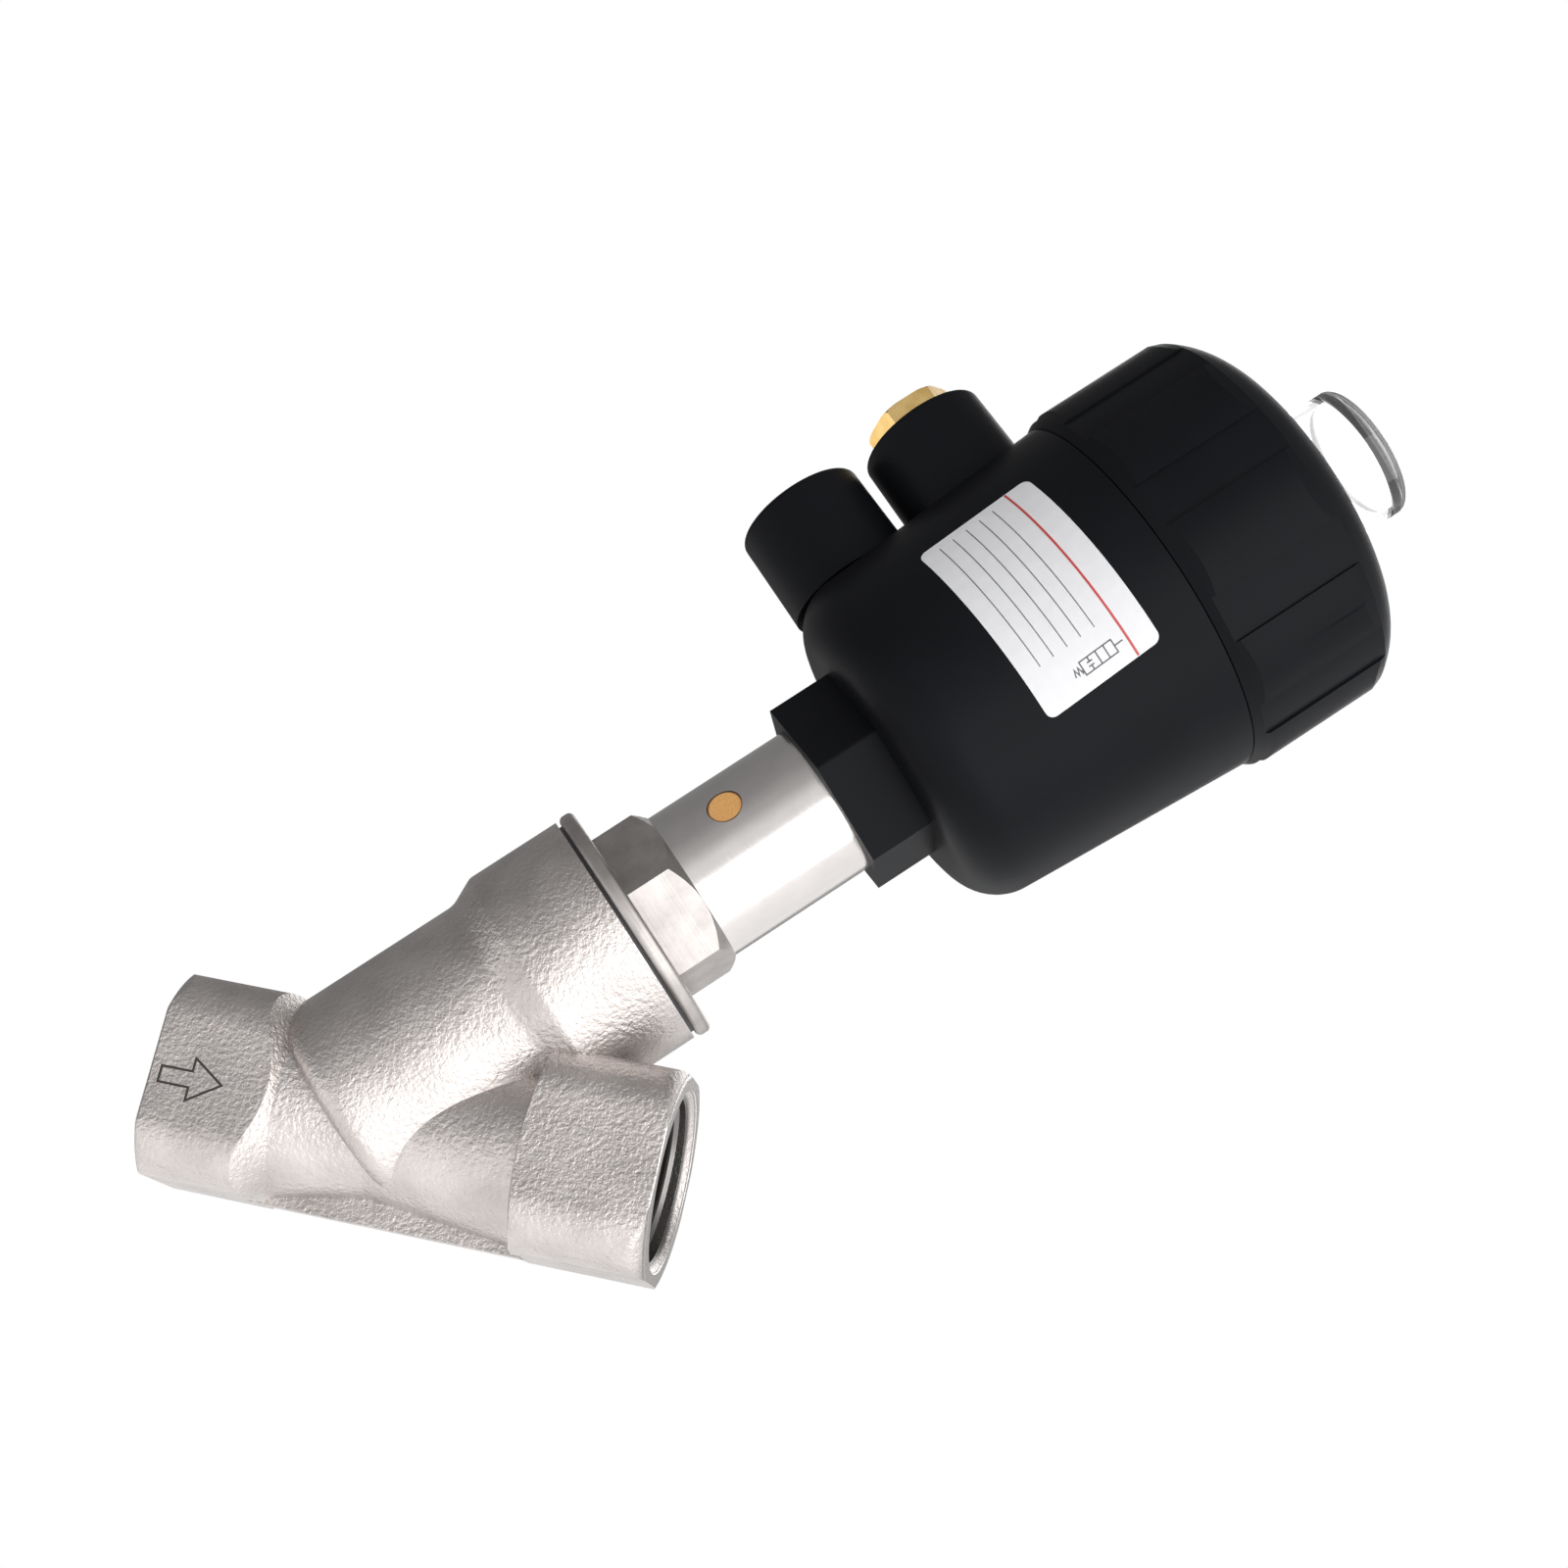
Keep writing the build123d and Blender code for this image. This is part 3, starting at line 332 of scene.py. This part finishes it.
def bump(tree, height, depth, strength=1.0, under=None):
    """A bump of depth mm, over another bump where one is given."""
    node = tree.nodes.new("ShaderNodeBump")
    node.inputs["Strength"].default_value = strength
    node.inputs["Distance"].default_value = depth * MM
    tree.links.new(height, node.inputs["Height"])
    if under is not None:
        tree.links.new(under, node.inputs["Normal"])
    return node.outputs["Normal"]


def turned(tree, place, up, origin=(0, 0, 0)):
    """A place as seen from an origin, turned so that Z runs along up."""
    mapping = tree.nodes.new("ShaderNodeMapping")
    mapping.vector_type = "TEXTURE"
    mapping.inputs["Location"].default_value = origin
    mapping.inputs["Rotation"].default_value = Vector((0, 0, 1)).rotation_difference(up).to_euler()
    tree.links.new(place, mapping.inputs["Vector"])
    return mapping.outputs["Vector"]


def stem_coordinates(tree):
    """Object coordinates turned so that Z runs along the stem axis from the crossing."""
    return turned(tree, coordinates(tree), lean, crossing)


def calculated(tree, operation, first, second):
    """A math node's result; each input is a socket or a number."""
    node = tree.nodes.new("ShaderNodeMath")
    node.operation = operation
    for socket, value in zip(node.inputs, (first, second)):
        if isinstance(value, (int, float)):
            socket.default_value = value
        else:
            tree.links.new(value, socket)
    return node.outputs["Value"]


def axes(tree, place):
    """The X, Y and Z of a place."""
    split = tree.nodes.new("ShaderNodeSeparateXYZ")
    tree.links.new(place, split.inputs["Vector"])
    return split.outputs["X"], split.outputs["Y"], split.outputs["Z"]


def distance(tree, across, up):
    """The distance from an axis, worked out from the two coordinates square to it."""
    squares = [calculated(tree, "MULTIPLY", side, side) for side in (across, up)]
    return calculated(tree, "SQRT", calculated(tree, "ADD", *squares), 0)


def between(tree, amount, first, second):
    """A colour between two; each is a socket or a colour."""
    node = tree.nodes.new("ShaderNodeMix")
    node.data_type = "RGBA"
    tree.links.new(amount, node.inputs["Factor"])
    sockets = [socket for socket in node.inputs if socket.type == "RGBA"]
    for socket, colour in zip(sockets, (first, second)):
        if isinstance(colour, tuple):
            socket.default_value = (*colour, 1)
        else:
            tree.links.new(colour, socket)
    return next(socket for socket in node.outputs if socket.type == "RGBA")


def vector_math(tree, operation, vector, other=(0, 0, 0)):
    """The outputs of a vector math node, from a linked vector and a fixed one."""
    node = tree.nodes.new("ShaderNodeVectorMath")
    node.operation = operation
    tree.links.new(vector, node.inputs[0])
    node.inputs[1].default_value = other
    return node.outputs


def machined(tree):
    """(1 in the turned bores at the casting's two ends, 1 on its two faced ends)."""
    along, across, up = axes(tree, coordinates(tree))
    inside = passed(tree, distance(tree, across, up), BORE_EDGE, BORE_EDGE - 0.4)
    offset = calculated(tree, "SUBTRACT", along, BODY_MIDDLE * MM)
    from_middle = calculated(tree, "ABSOLUTE", offset, 0)
    outer = passed(tree, from_middle, BORE_INNER_END, BORE_INNER_END + 1)
    bored_and_shaded = calculated(tree, "MULTIPLY", inside, outer)
    return bored_and_shaded, passed(tree, from_middle, FACED_END - 0.25, FACED_END - 0.1)


def off_centre(tree, node):
    """The distance from a disc's own axis, which meets the stem axis square."""
    places = [v.co for v in node.data.vertices]
    middle = sum(places, Vector()) / len(places)
    offset = middle - crossing
    axis = (offset - offset.dot(lean) * lean).normalized()
    moved = vector_math(tree, "SUBTRACT", coordinates(tree), middle)["Vector"]
    square = vector_math(tree, "CROSS_PRODUCT", moved, axis)["Vector"]
    return vector_math(tree, "LENGTH", square)["Value"]


# ---------------------------------------------------------------- materials
def cast_steel():
    """Cast steel with a pebbled skin, smooth in the bores and darkened there as painted shade, bright on the faced
    ends.
    """
    material, tree, shade = shader("cast_stainless")
    place = coordinates(tree)
    patches = noise(tree, place, size=9.0, detail=4.0)
    skin = noise(tree, place, size=0.75, detail=4.0, roughness=0.55)
    grain = noise(tree, place, size=0.3, detail=2.0)
    colour = ramp(tree, patches, (0.3, (0.48, 0.445, 0.43)), (0.7, (0.65, 0.605, 0.585)))
    bored_and_shaded, faced = machined(tree)
    colour = between(tree, faced, colour, (0.72, 0.69, 0.67))
    # painted shade: the bores darkened to near black, as shade falls inside them
    tree.links.new(between(tree, bored_and_shaded, colour, (0.13, 0.123, 0.12)), shade.inputs["Base Color"])
    shade.inputs["Metallic"].default_value = 0.9
    tree.links.new(spread(tree, skin, 0.22, 0.36), shade.inputs["Roughness"])
    cast = calculated(tree, "SUBTRACT", 1, calculated(tree, "MAXIMUM", bored_and_shaded, faced))
    relief = calculated(tree, "MULTIPLY", skin, cast)
    rough = bump(tree, grain, depth=0.09, strength=0.7)
    tree.links.new(bump(tree, relief, depth=0.28, strength=0.9, under=rough), shade.inputs["Normal"])
    return material


def turned_steel(name, colour, roughness, line=0.25, depth=0.012, darkest=0.86):
    """Turned steel, with tool marks line mm apart round the stem axis and slightly darker patches."""
    material, tree, shade = shader(name)
    place = stem_coordinates(tree)
    lines = tree.nodes.new("ShaderNodeTexNoise")
    lines.noise_dimensions = "1D"
    lines.inputs["Scale"].default_value = 1 / (line * MM)
    lines.inputs["Detail"].default_value = 3.0
    tree.links.new(axes(tree, place)[2], lines.inputs["W"])
    marks = lines.outputs["Fac"]
    patches = noise(tree, place, size=4.0, detail=4.0, roughness=0.65)
    dark = tuple(darkest * c for c in colour)
    tree.links.new(ramp(tree, patches, (0.3, dark), (0.7, colour)), shade.inputs["Base Color"])
    shade.inputs["Metallic"].default_value = 1.0
    tree.links.new(spread(tree, marks, roughness - 0.06, roughness + 0.08), shade.inputs["Roughness"])
    tree.links.new(bump(tree, marks, depth, strength=0.6), shade.inputs["Normal"])
    return material


def moulded_plastic(name, colour, roughness, grain_size=0.5, depth=0.02, gloss=0.5):
    """Moulded plastic with a fine spark-eroded grain."""
    material, tree, shade = shader(name)
    place = coordinates(tree)
    grain = noise(tree, place, grain_size, detail=2.0)
    patches = noise(tree, place, size=14.0)
    light = tuple(1.25 * c for c in colour)
    tree.links.new(ramp(tree, patches, (0.3, colour), (0.75, light)), shade.inputs["Base Color"])
    shade.inputs["Specular IOR Level"].default_value = gloss
    tree.links.new(spread(tree, patches, roughness - 0.05, roughness + 0.07), shade.inputs["Roughness"])
    tree.links.new(bump(tree, grain, depth, strength=0.5), shade.inputs["Normal"])
    return material


def rubber(name, colour, roughness):
    """Rubber, or another soft or filled plastic, with a very fine grain."""
    return moulded_plastic(name, colour, roughness, grain_size=0.3, depth=0.01)


def plain_metal(name, dark, light, roughness, mottle_size=1.2):
    """Plated, sprung or cleanly cut metal with a faint mottle."""
    material, tree, shade = shader(name)
    mottle = noise(tree, coordinates(tree), mottle_size)
    tree.links.new(ramp(tree, mottle, (0.3, dark), (0.7, light)), shade.inputs["Base Color"])
    shade.inputs["Metallic"].default_value = 1.0
    tree.links.new(spread(tree, mottle, roughness - 0.05, roughness + 0.1), shade.inputs["Roughness"])
    tree.links.new(bump(tree, mottle, depth=0.01, strength=0.5), shade.inputs["Normal"])
    return material


def sintered_metal():
    """Pressed bronze beads, porous and dull, with painted shade: a dark edge round the vent disc."""
    material, tree, shade = shader("sintered_bronze")
    bead_size = 0.28
    beads = tree.nodes.new("ShaderNodeTexVoronoi")
    beads.inputs["Scale"].default_value = 1 / (bead_size * MM)
    tree.links.new(coordinates(tree), beads.inputs["Vector"])
    from_bead = beads.outputs["Distance"]
    colour = ramp(tree, from_bead, (0.0, (1.0, 0.6, 0.25)), (0.7, (0.92, 0.46, 0.14)))
    # painted shade: the disc darkened outside VENT_EDGE, where it meets its seat
    shaded_edge = passed(tree, off_centre(tree, nodes["vent_disc"]), VENT_EDGE - 0.2, VENT_EDGE)
    tree.links.new(between(tree, shaded_edge, colour, (0.2, 0.1, 0.04)), shade.inputs["Base Color"])
    shade.inputs["Metallic"].default_value = 0.15
    shade.inputs["Roughness"].default_value = 0.55
    height = spread(tree, from_bead, 1, 0)
    tree.links.new(bump(tree, height, depth=0.08, strength=0.7), shade.inputs["Normal"])
    return material


def clear_plastic(reflection_start, reflection_end, reflection_radius):
    """Clear plastic, with a painted reflection: a grey ring round the edge of its thick end."""
    material, tree, shade = shader("clear_plastic")
    across, up, along = axes(tree, stem_coordinates(tree))
    ring = passed(tree, along, reflection_start, reflection_end)
    # painted reflection: the grey ring, dark inside and lighter outside, stands in for the black cap seen in the
    # thick edge
    grey = ramp(tree, ring, (0.0, 0.05), (0.42, 0.05), (0.52, 0.4), (1.0, 0.6))
    outer = passed(tree, distance(tree, across, up), reflection_radius - 1.0, reflection_radius - 0.7)
    end = passed(tree, along, reflection_start - 0.1, reflection_start)
    reflection_mask = calculated(tree, "MULTIPLY", outer, end)
    tree.links.new(between(tree, reflection_mask, (0.975, 0.975, 0.975), grey), shade.inputs["Base Color"])
    smear = noise(tree, coordinates(tree), size=5.0)
    tree.links.new(spread(tree, smear, 0.02, 0.08), shade.inputs["Roughness"])
    shade.inputs["IOR"].default_value = 1.49
    shade.inputs["Transmission Weight"].default_value = 1.0
    return material


def printed(name, colour, roughness):
    """Printed film or ink: a nearly even colour with a faint satin mottle."""
    material, tree, shade = shader(name)
    mottle = noise(tree, coordinates(tree), size=2.0)
    dark = tuple(0.96 * c for c in colour)
    tree.links.new(ramp(tree, mottle, (0.3, dark), (0.7, colour)), shade.inputs["Base Color"])
    tree.links.new(spread(tree, mottle, roughness - 0.05, roughness + 0.05), shade.inputs["Roughness"])
    return material


# The finish of each material slot, of two pieces that differ from theirs, and of film and inks.
finishes = {
    "cast_stainless": cast_steel(),
    "machined_stainless": turned_steel("machined_stainless", (0.68, 0.65, 0.635), 0.17, darkest=0.93),
    "polished_stainless": turned_steel(
        "polished_stainless", (0.66, 0.64, 0.625), 0.2, line=0.6, depth=0.004
    ),
    "graphite": rubber("graphite", (0.05, 0.05, 0.055), 0.5),
    "sintered_bronze": sintered_metal(),
    "white_seal": rubber("white_seal", (0.8, 0.79, 0.76), 0.4),
    "bearing_plastic": rubber("bearing_plastic", (0.55, 0.48, 0.36), 0.45),
    "spring_steel": plain_metal("spring_steel", (0.4, 0.4, 0.41), (0.58, 0.58, 0.6), 0.3),
    "machined_brass": plain_metal(
        "machined_brass", (0.78, 0.5, 0.16), (0.95, 0.68, 0.28), 0.22, mottle_size=3.0
    ),
    "black_seal": rubber("black_seal", (0.02, 0.02, 0.02), 0.6),
    "black_plastic": moulded_plastic("black_plastic", (0.0075, 0.008, 0.0098), 0.4, gloss=0.06),
    "clear_plastic": clear_plastic(*WINDOW_REFLECTION),
    "zinc_plate": plain_metal("zinc_plate", (0.6, 0.6, 0.62), (0.75, 0.75, 0.77), 0.35),
    "piston_alloy": turned_steel("piston_alloy", (0.72, 0.72, 0.73), 0.35, line=0.5, depth=0.01),
    "indicator_plastic": moulded_plastic("indicator_plastic", (0.62, 0.03, 0.02), 0.35),
    "bonnet_steel": turned_steel(
        "bonnet_steel", (0.5, 0.47, 0.455), 0.46, line=0.4, depth=0.03, darkest=0.76
    ),
    # painted shade: the threads' machined steel darkened, as they sit in the shaded bores
    "shaded_thread_steel": turned_steel("shaded_thread_steel", (0.22, 0.21, 0.205), 0.3),
    "label_film": printed("label_film", (0.88, 0.88, 0.9), 0.45),
    "red_ink": printed("red_ink", (0.6, 0.07, 0.07), 0.45),
    "grey_ink": printed("grey_ink", (0.1, 0.1, 0.11), 0.45),
    "etched_line": printed("etched_line", (0.035, 0.028, 0.025), 0.6),
}


def dress_nodes():
    """Each CAD node gets the finish of its material slot, and the bonnet its own."""
    slots = {part["node"]: part["material_slot"] for part in frame["record"]["subparts"]}
    for name, node in nodes.items():
        finish = "bonnet_steel" if name == "bonnet" else slots[name]
        node.data.materials.clear()
        node.data.materials.append(finishes[finish])


# ---------------------------------------------------------------- springs and threads
def make_springs():
    """The two closing springs between piston and spring seat."""
    for name, mean_radius, turns, hand in SPRINGS:
        start, end, reach = span(name)
        wire = 2 * (reach - mean_radius)
        steel = finishes["spring_steel"]
        piece = coil(name + "_wire", mean_radius, wire, start, end, turns, hand, steel, "spring_steel")
        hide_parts(name)
        on_stem(end, 0, 0)
        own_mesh(piece)


def make_threads():
    """Female threads in the pipe ports and in the pilot port's insert."""
    mounts = {mount["name"]: mount for mount in frame["record"]["mounts"]}
    for name, pitch, plain_length, finish, body, slot in THREADS:
        mount = mounts[name]
        thread(
            name.replace("_port", "_thread"),
            origin=Vector(mount["pos_m"]),
            axis=-Vector(mount["axis"]),
            radius=mount["dims"]["r_mm"],
            pitch=pitch,
            length=mount["dims"]["length_mm"] - plain_length,
            material=finishes[finish],
            body=body,
            slot=slot,
        )


# ---------------------------------------------------------------- label and arrow
def rectangle(left, foot, wide, tall):
    """A closed path round a rectangle."""
    right = left + wide
    top = foot + tall
    return [(left, foot), (right, foot), (right, top), (left, top)], True


def stroke(*points):
    """An open path."""
    return list(points), False


def make_label():
    """The bare label: its film, a red rule, ruled lines to write on and a plain valve symbol."""
    length = 33.4
    height = 19.4
    corner_radius = 1.3
    middle_station = 124.4
    middle_angle = 88.0
    tilt = radians(2.1)
    beyond_housing = 60  # a radius from which to look for the housing's surface
    housing = surface("actuator_housing")

    def lay(u, v, lift):
        """A place on the housing: u runs round it and v along the stem axis."""
        station = middle_station + v * cos(tilt) + u * sin(tilt)
        around = u * cos(tilt) - v * sin(tilt)
        angle = middle_angle
        for _ in range(2):  # the second time at the radius found, as the housing tapers
            start = on_stem(station, beyond_housing, angle)
            hit = housing.ray_cast(start, -outward(angle))[0]
            radius = (hit - on_stem(station, 0, 0)).length / MM
            angle = middle_angle + degrees(around / radius)
        return on_stem(station, radius + lift, angle)

    def lines(name, paths, width, ink):
        top = LABEL_LIFT + PRINT_LIFT
        printed_lines(name, paths, width, lay, LABEL_LIFT, top, finishes[ink], "actuator", "black_plastic")

    make_label_film(lay, length, height, corner_radius)
    half_rule = length / 2 - 0.15
    rule_height = 5.7
    lines("label_rule", [stroke((-half_rule, rule_height), (half_rule, rule_height))], 0.36, "red_ink")

    row_pitch = 2.35
    row_heights = [2.7 - row_pitch * k for k in range(5)]
    row_start = -15.2
    row_end = 9.6
    rows = [stroke((row_start, row), (row_end, row)) for row in row_heights]
    lines("label_lines", rows, 0.14, "grey_ink")
    lines("label_symbol", valve_symbol(), 0.2, "grey_ink")


def make_label_film(lay, length, height, corner_radius):
    """The label's film: a thin rounded rectangle wrapped on the housing."""
    columns = 56
    rows = 6
    corner_steps = 6
    straight = length / 2 - corner_radius
    columns_at = [(straight * (2 * i / columns - 1), height / 2) for i in range(columns + 1)]
    for k in range(1, corner_steps + 1):
        turn = pi / 2 * k / corner_steps
        reach = straight + corner_radius * sin(turn)
        half_height = height / 2 - corner_radius + corner_radius * cos(turn)
        columns_at = [(-reach, half_height)] + columns_at + [(reach, half_height)]

    def sides(_, column):
        u, half_height = column
        levels = [half_height * (2 * k / rows - 1) for k in range(rows + 1)]
        outer = [lay(u, v, LABEL_LIFT) for v in levels]
        inner = [lay(u, v, 0.0) for v in reversed(levels)]
        return outer + inner

    vertices, faces = tube_along(columns_at, sides)
    new_piece("label_film", vertices, faces, finishes["label_film"], "actuator", "black_plastic")


def valve_symbol():
    """Paths of a two-square valve symbol: a flow line, two stopped ways, a pilot and a spring."""
    wide = 2.1
    tall = 5.5
    left = 13.4 - wide / 2
    foot = 0.8 - tall / 2
    right = left + wide
    middle = left + wide / 2
    stop_low = foot + tall * 0.17
    way_low = foot + tall * 0.25
    stop_high = foot + tall * 0.33
    between_squares = foot + tall / 2
    flow = foot + tall * 0.75
    left_stop = left + wide * 0.35
    right_stop = left + wide * 0.65
    pilot_length = 1.4
    spring_places = [(left + wide * (0.25 if k % 2 else 0.75), foot - 0.25 - 0.3 * k) for k in range(5)]
    return [
        rectangle(left, foot, wide, tall),
        stroke((left, between_squares), (right, between_squares)),
        stroke((right, flow), (left, flow)),
        stroke((left, way_low), (left_stop, way_low)),
        stroke((left_stop, stop_low), (left_stop, stop_high)),
        stroke((right, way_low), (right_stop, way_low)),
        stroke((right_stop, stop_low), (right_stop, stop_high)),
        stroke((middle, foot + tall), (middle, foot + tall + pilot_length)),
        stroke((middle, foot), *spring_places),
    ]


def make_arrow():
    """The flow arrow etched in outline on the inlet block's flat."""
    tail = 0.3
    neck = 4.97
    tip = 9.65
    middle = -1.07
    half_shaft = 1.16
    half_head = 3.08
    width = 0.34
    sunk = 0.05  # how far the line's foot reaches into the flat
    beside = Vector((5.0, -100, -1.0)) * MM
    flat = surface("valve_body").ray_cast(beside, Vector((0, 1, 0)))[0].y / MM

    def lay(x, z, lift):
        return Vector((x, flat - lift, z)) * MM

    outline = [
        (tail, middle - half_shaft),
        (neck, middle - half_shaft),
        (neck, middle - half_head),
        (tip, middle),
        (neck, middle + half_head),
        (neck, middle + half_shaft),
        (tail, middle + half_shaft),
    ]
    etched = finishes["etched_line"]
    printed_lines(
        "flow_arrow", [(outline, True)], width, lay, -sunk, PRINT_LIFT, etched, "valve", "cast_stainless"
    )


# ---------------------------------------------------------------- stage
def light_paths(tree, *kinds):
    """1 for the named kinds of ray and 0 for the others."""
    rays = tree.nodes.new("ShaderNodeLightPath")
    seen = rays.outputs[kinds[0]]
    for kind in kinds[1:]:
        seen = calculated(tree, "MAXIMUM", seen, rays.outputs[kind])
    return seen


def mixed(tree, amount, first, second):
    """A mix of two shaders by an amount that is linked."""
    mix = tree.nodes.new("ShaderNodeMixShader")
    tree.links.new(amount, mix.inputs["Fac"])
    tree.links.new(first, mix.inputs[1])
    tree.links.new(second, mix.inputs[2])
    return mix.outputs["Shader"]


def glow(tree, kind, strength):
    """A white background or emission shader."""
    node = tree.nodes.new(kind)
    node.inputs["Color"].default_value = (1, 1, 1, 1)
    node.inputs["Strength"].default_value = strength
    return node


def make_floor():
    """A pale floor well below the valve, which shows white and keeps the valve's shadow."""
    drop = 0.6
    half = 4.0
    mesh = bpy.data.meshes.new("floor")
    corners = [(-half, -half), (half, -half), (half, half), (-half, half)]
    mesh.from_pydata([(x, y, -drop) for x, y in corners], [], [(0, 1, 2, 3)])
    floor = bpy.data.objects.new("floor", mesh)
    bpy.context.scene.collection.objects.link(floor)
    material, tree, shade = shader("floor")
    shade.inputs["Base Color"].default_value = (0.9, 0.9, 0.9, 1)
    shade.inputs["Roughness"].default_value = 0.8
    shine = glow(tree, "ShaderNodeEmission", FLOOR_GLOW)
    both = tree.nodes.new("ShaderNodeAddShader")
    tree.links.new(shade.outputs["BSDF"], both.inputs[0])
    tree.links.new(shine.outputs["Emission"], both.inputs[1])
    seen = light_paths(tree, "Is Camera Ray", "Is Glossy Ray", "Is Transmission Ray")
    shown = mixed(tree, seen, shade.outputs["BSDF"], both.outputs["Shader"])
    tree.links.new(shown, tree.nodes["Material Output"].inputs["Surface"])
    mesh.materials.append(material)


def make_surround():
    """A white surround, darker to one side in shiny faces, with an even fill on dull ones."""
    world = bpy.data.worlds.new("studio")
    bpy.context.scene.world = world
    world.use_nodes = True
    tree = world.node_tree
    tree.nodes.clear()
    direction = tree.nodes.new("ShaderNodeTexCoord").outputs["Generated"]
    towards_dark = axes(tree, turned(tree, direction, DARK_SIDE))[2]
    shade = ramp(tree, mapped(tree, towards_dark, -1, 1, 0, 1), *MIRRORED)
    white = glow(tree, "ShaderNodeBackground", 1.0).outputs["Background"]
    fill = glow(tree, "ShaderNodeBackground", FILL).outputs["Background"]
    mirrored = glow(tree, "ShaderNodeBackground", 1.0)
    tree.links.new(shade, mirrored.inputs["Color"])
    lit = mixed(tree, light_paths(tree, "Is Glossy Ray"), fill, mirrored.outputs["Background"])
    shown = mixed(tree, light_paths(tree, "Is Camera Ray", "Is Transmission Ray"), lit, white)
    output = tree.nodes.new("ShaderNodeOutputWorld")
    tree.links.new(shown, output.inputs["Surface"])


def make_lamps():
    """Soft square lamps round the valve, aimed at its centre."""
    centre = (Vector(cad_box[0]) + Vector(cad_box[1])) / 2
    for name, offset, size, power in LAMPS:
        data = bpy.data.lights.new(name, "AREA")
        data.shape = "SQUARE"
        data.size = size
        data.energy = power
        lamp = bpy.data.objects.new(name, data)
        lamp.location = centre + Vector(offset)
        lamp.rotation_mode = "QUATERNION"
        lamp.rotation_quaternion = (centre - lamp.location).to_track_quat("-Z", "Y")
        bpy.context.scene.collection.objects.link(lamp)


def make_camera():
    """The photograph's viewpoint, low and a little towards the outlet, with its tilt."""
    place = Vector((129.75, -350.3, -39.21)) * MM
    target = Vector((76.93, 0.0, 61.72)) * MM
    roll = radians(12.476)
    data = bpy.data.cameras.new("camera")
    data.sensor_width = 36.0
    data.lens = 56.03
    data.clip_start = 0.01
    camera = bpy.data.objects.new("camera", data)
    camera.location = place
    camera.rotation_mode = "QUATERNION"
    aim = (target - place).to_track_quat("-Z", "Y")
    camera.rotation_quaternion = aim @ Quaternion((0, 0, 1), roll)
    bpy.context.scene.collection.objects.link(camera)
    bpy.context.scene.camera = camera


dress_nodes()
make_springs()
make_threads()
make_label()
make_arrow()
make_floor()
make_surround()
make_lamps()
make_camera()

bpy.context.scene.view_settings.view_transform = "Standard"
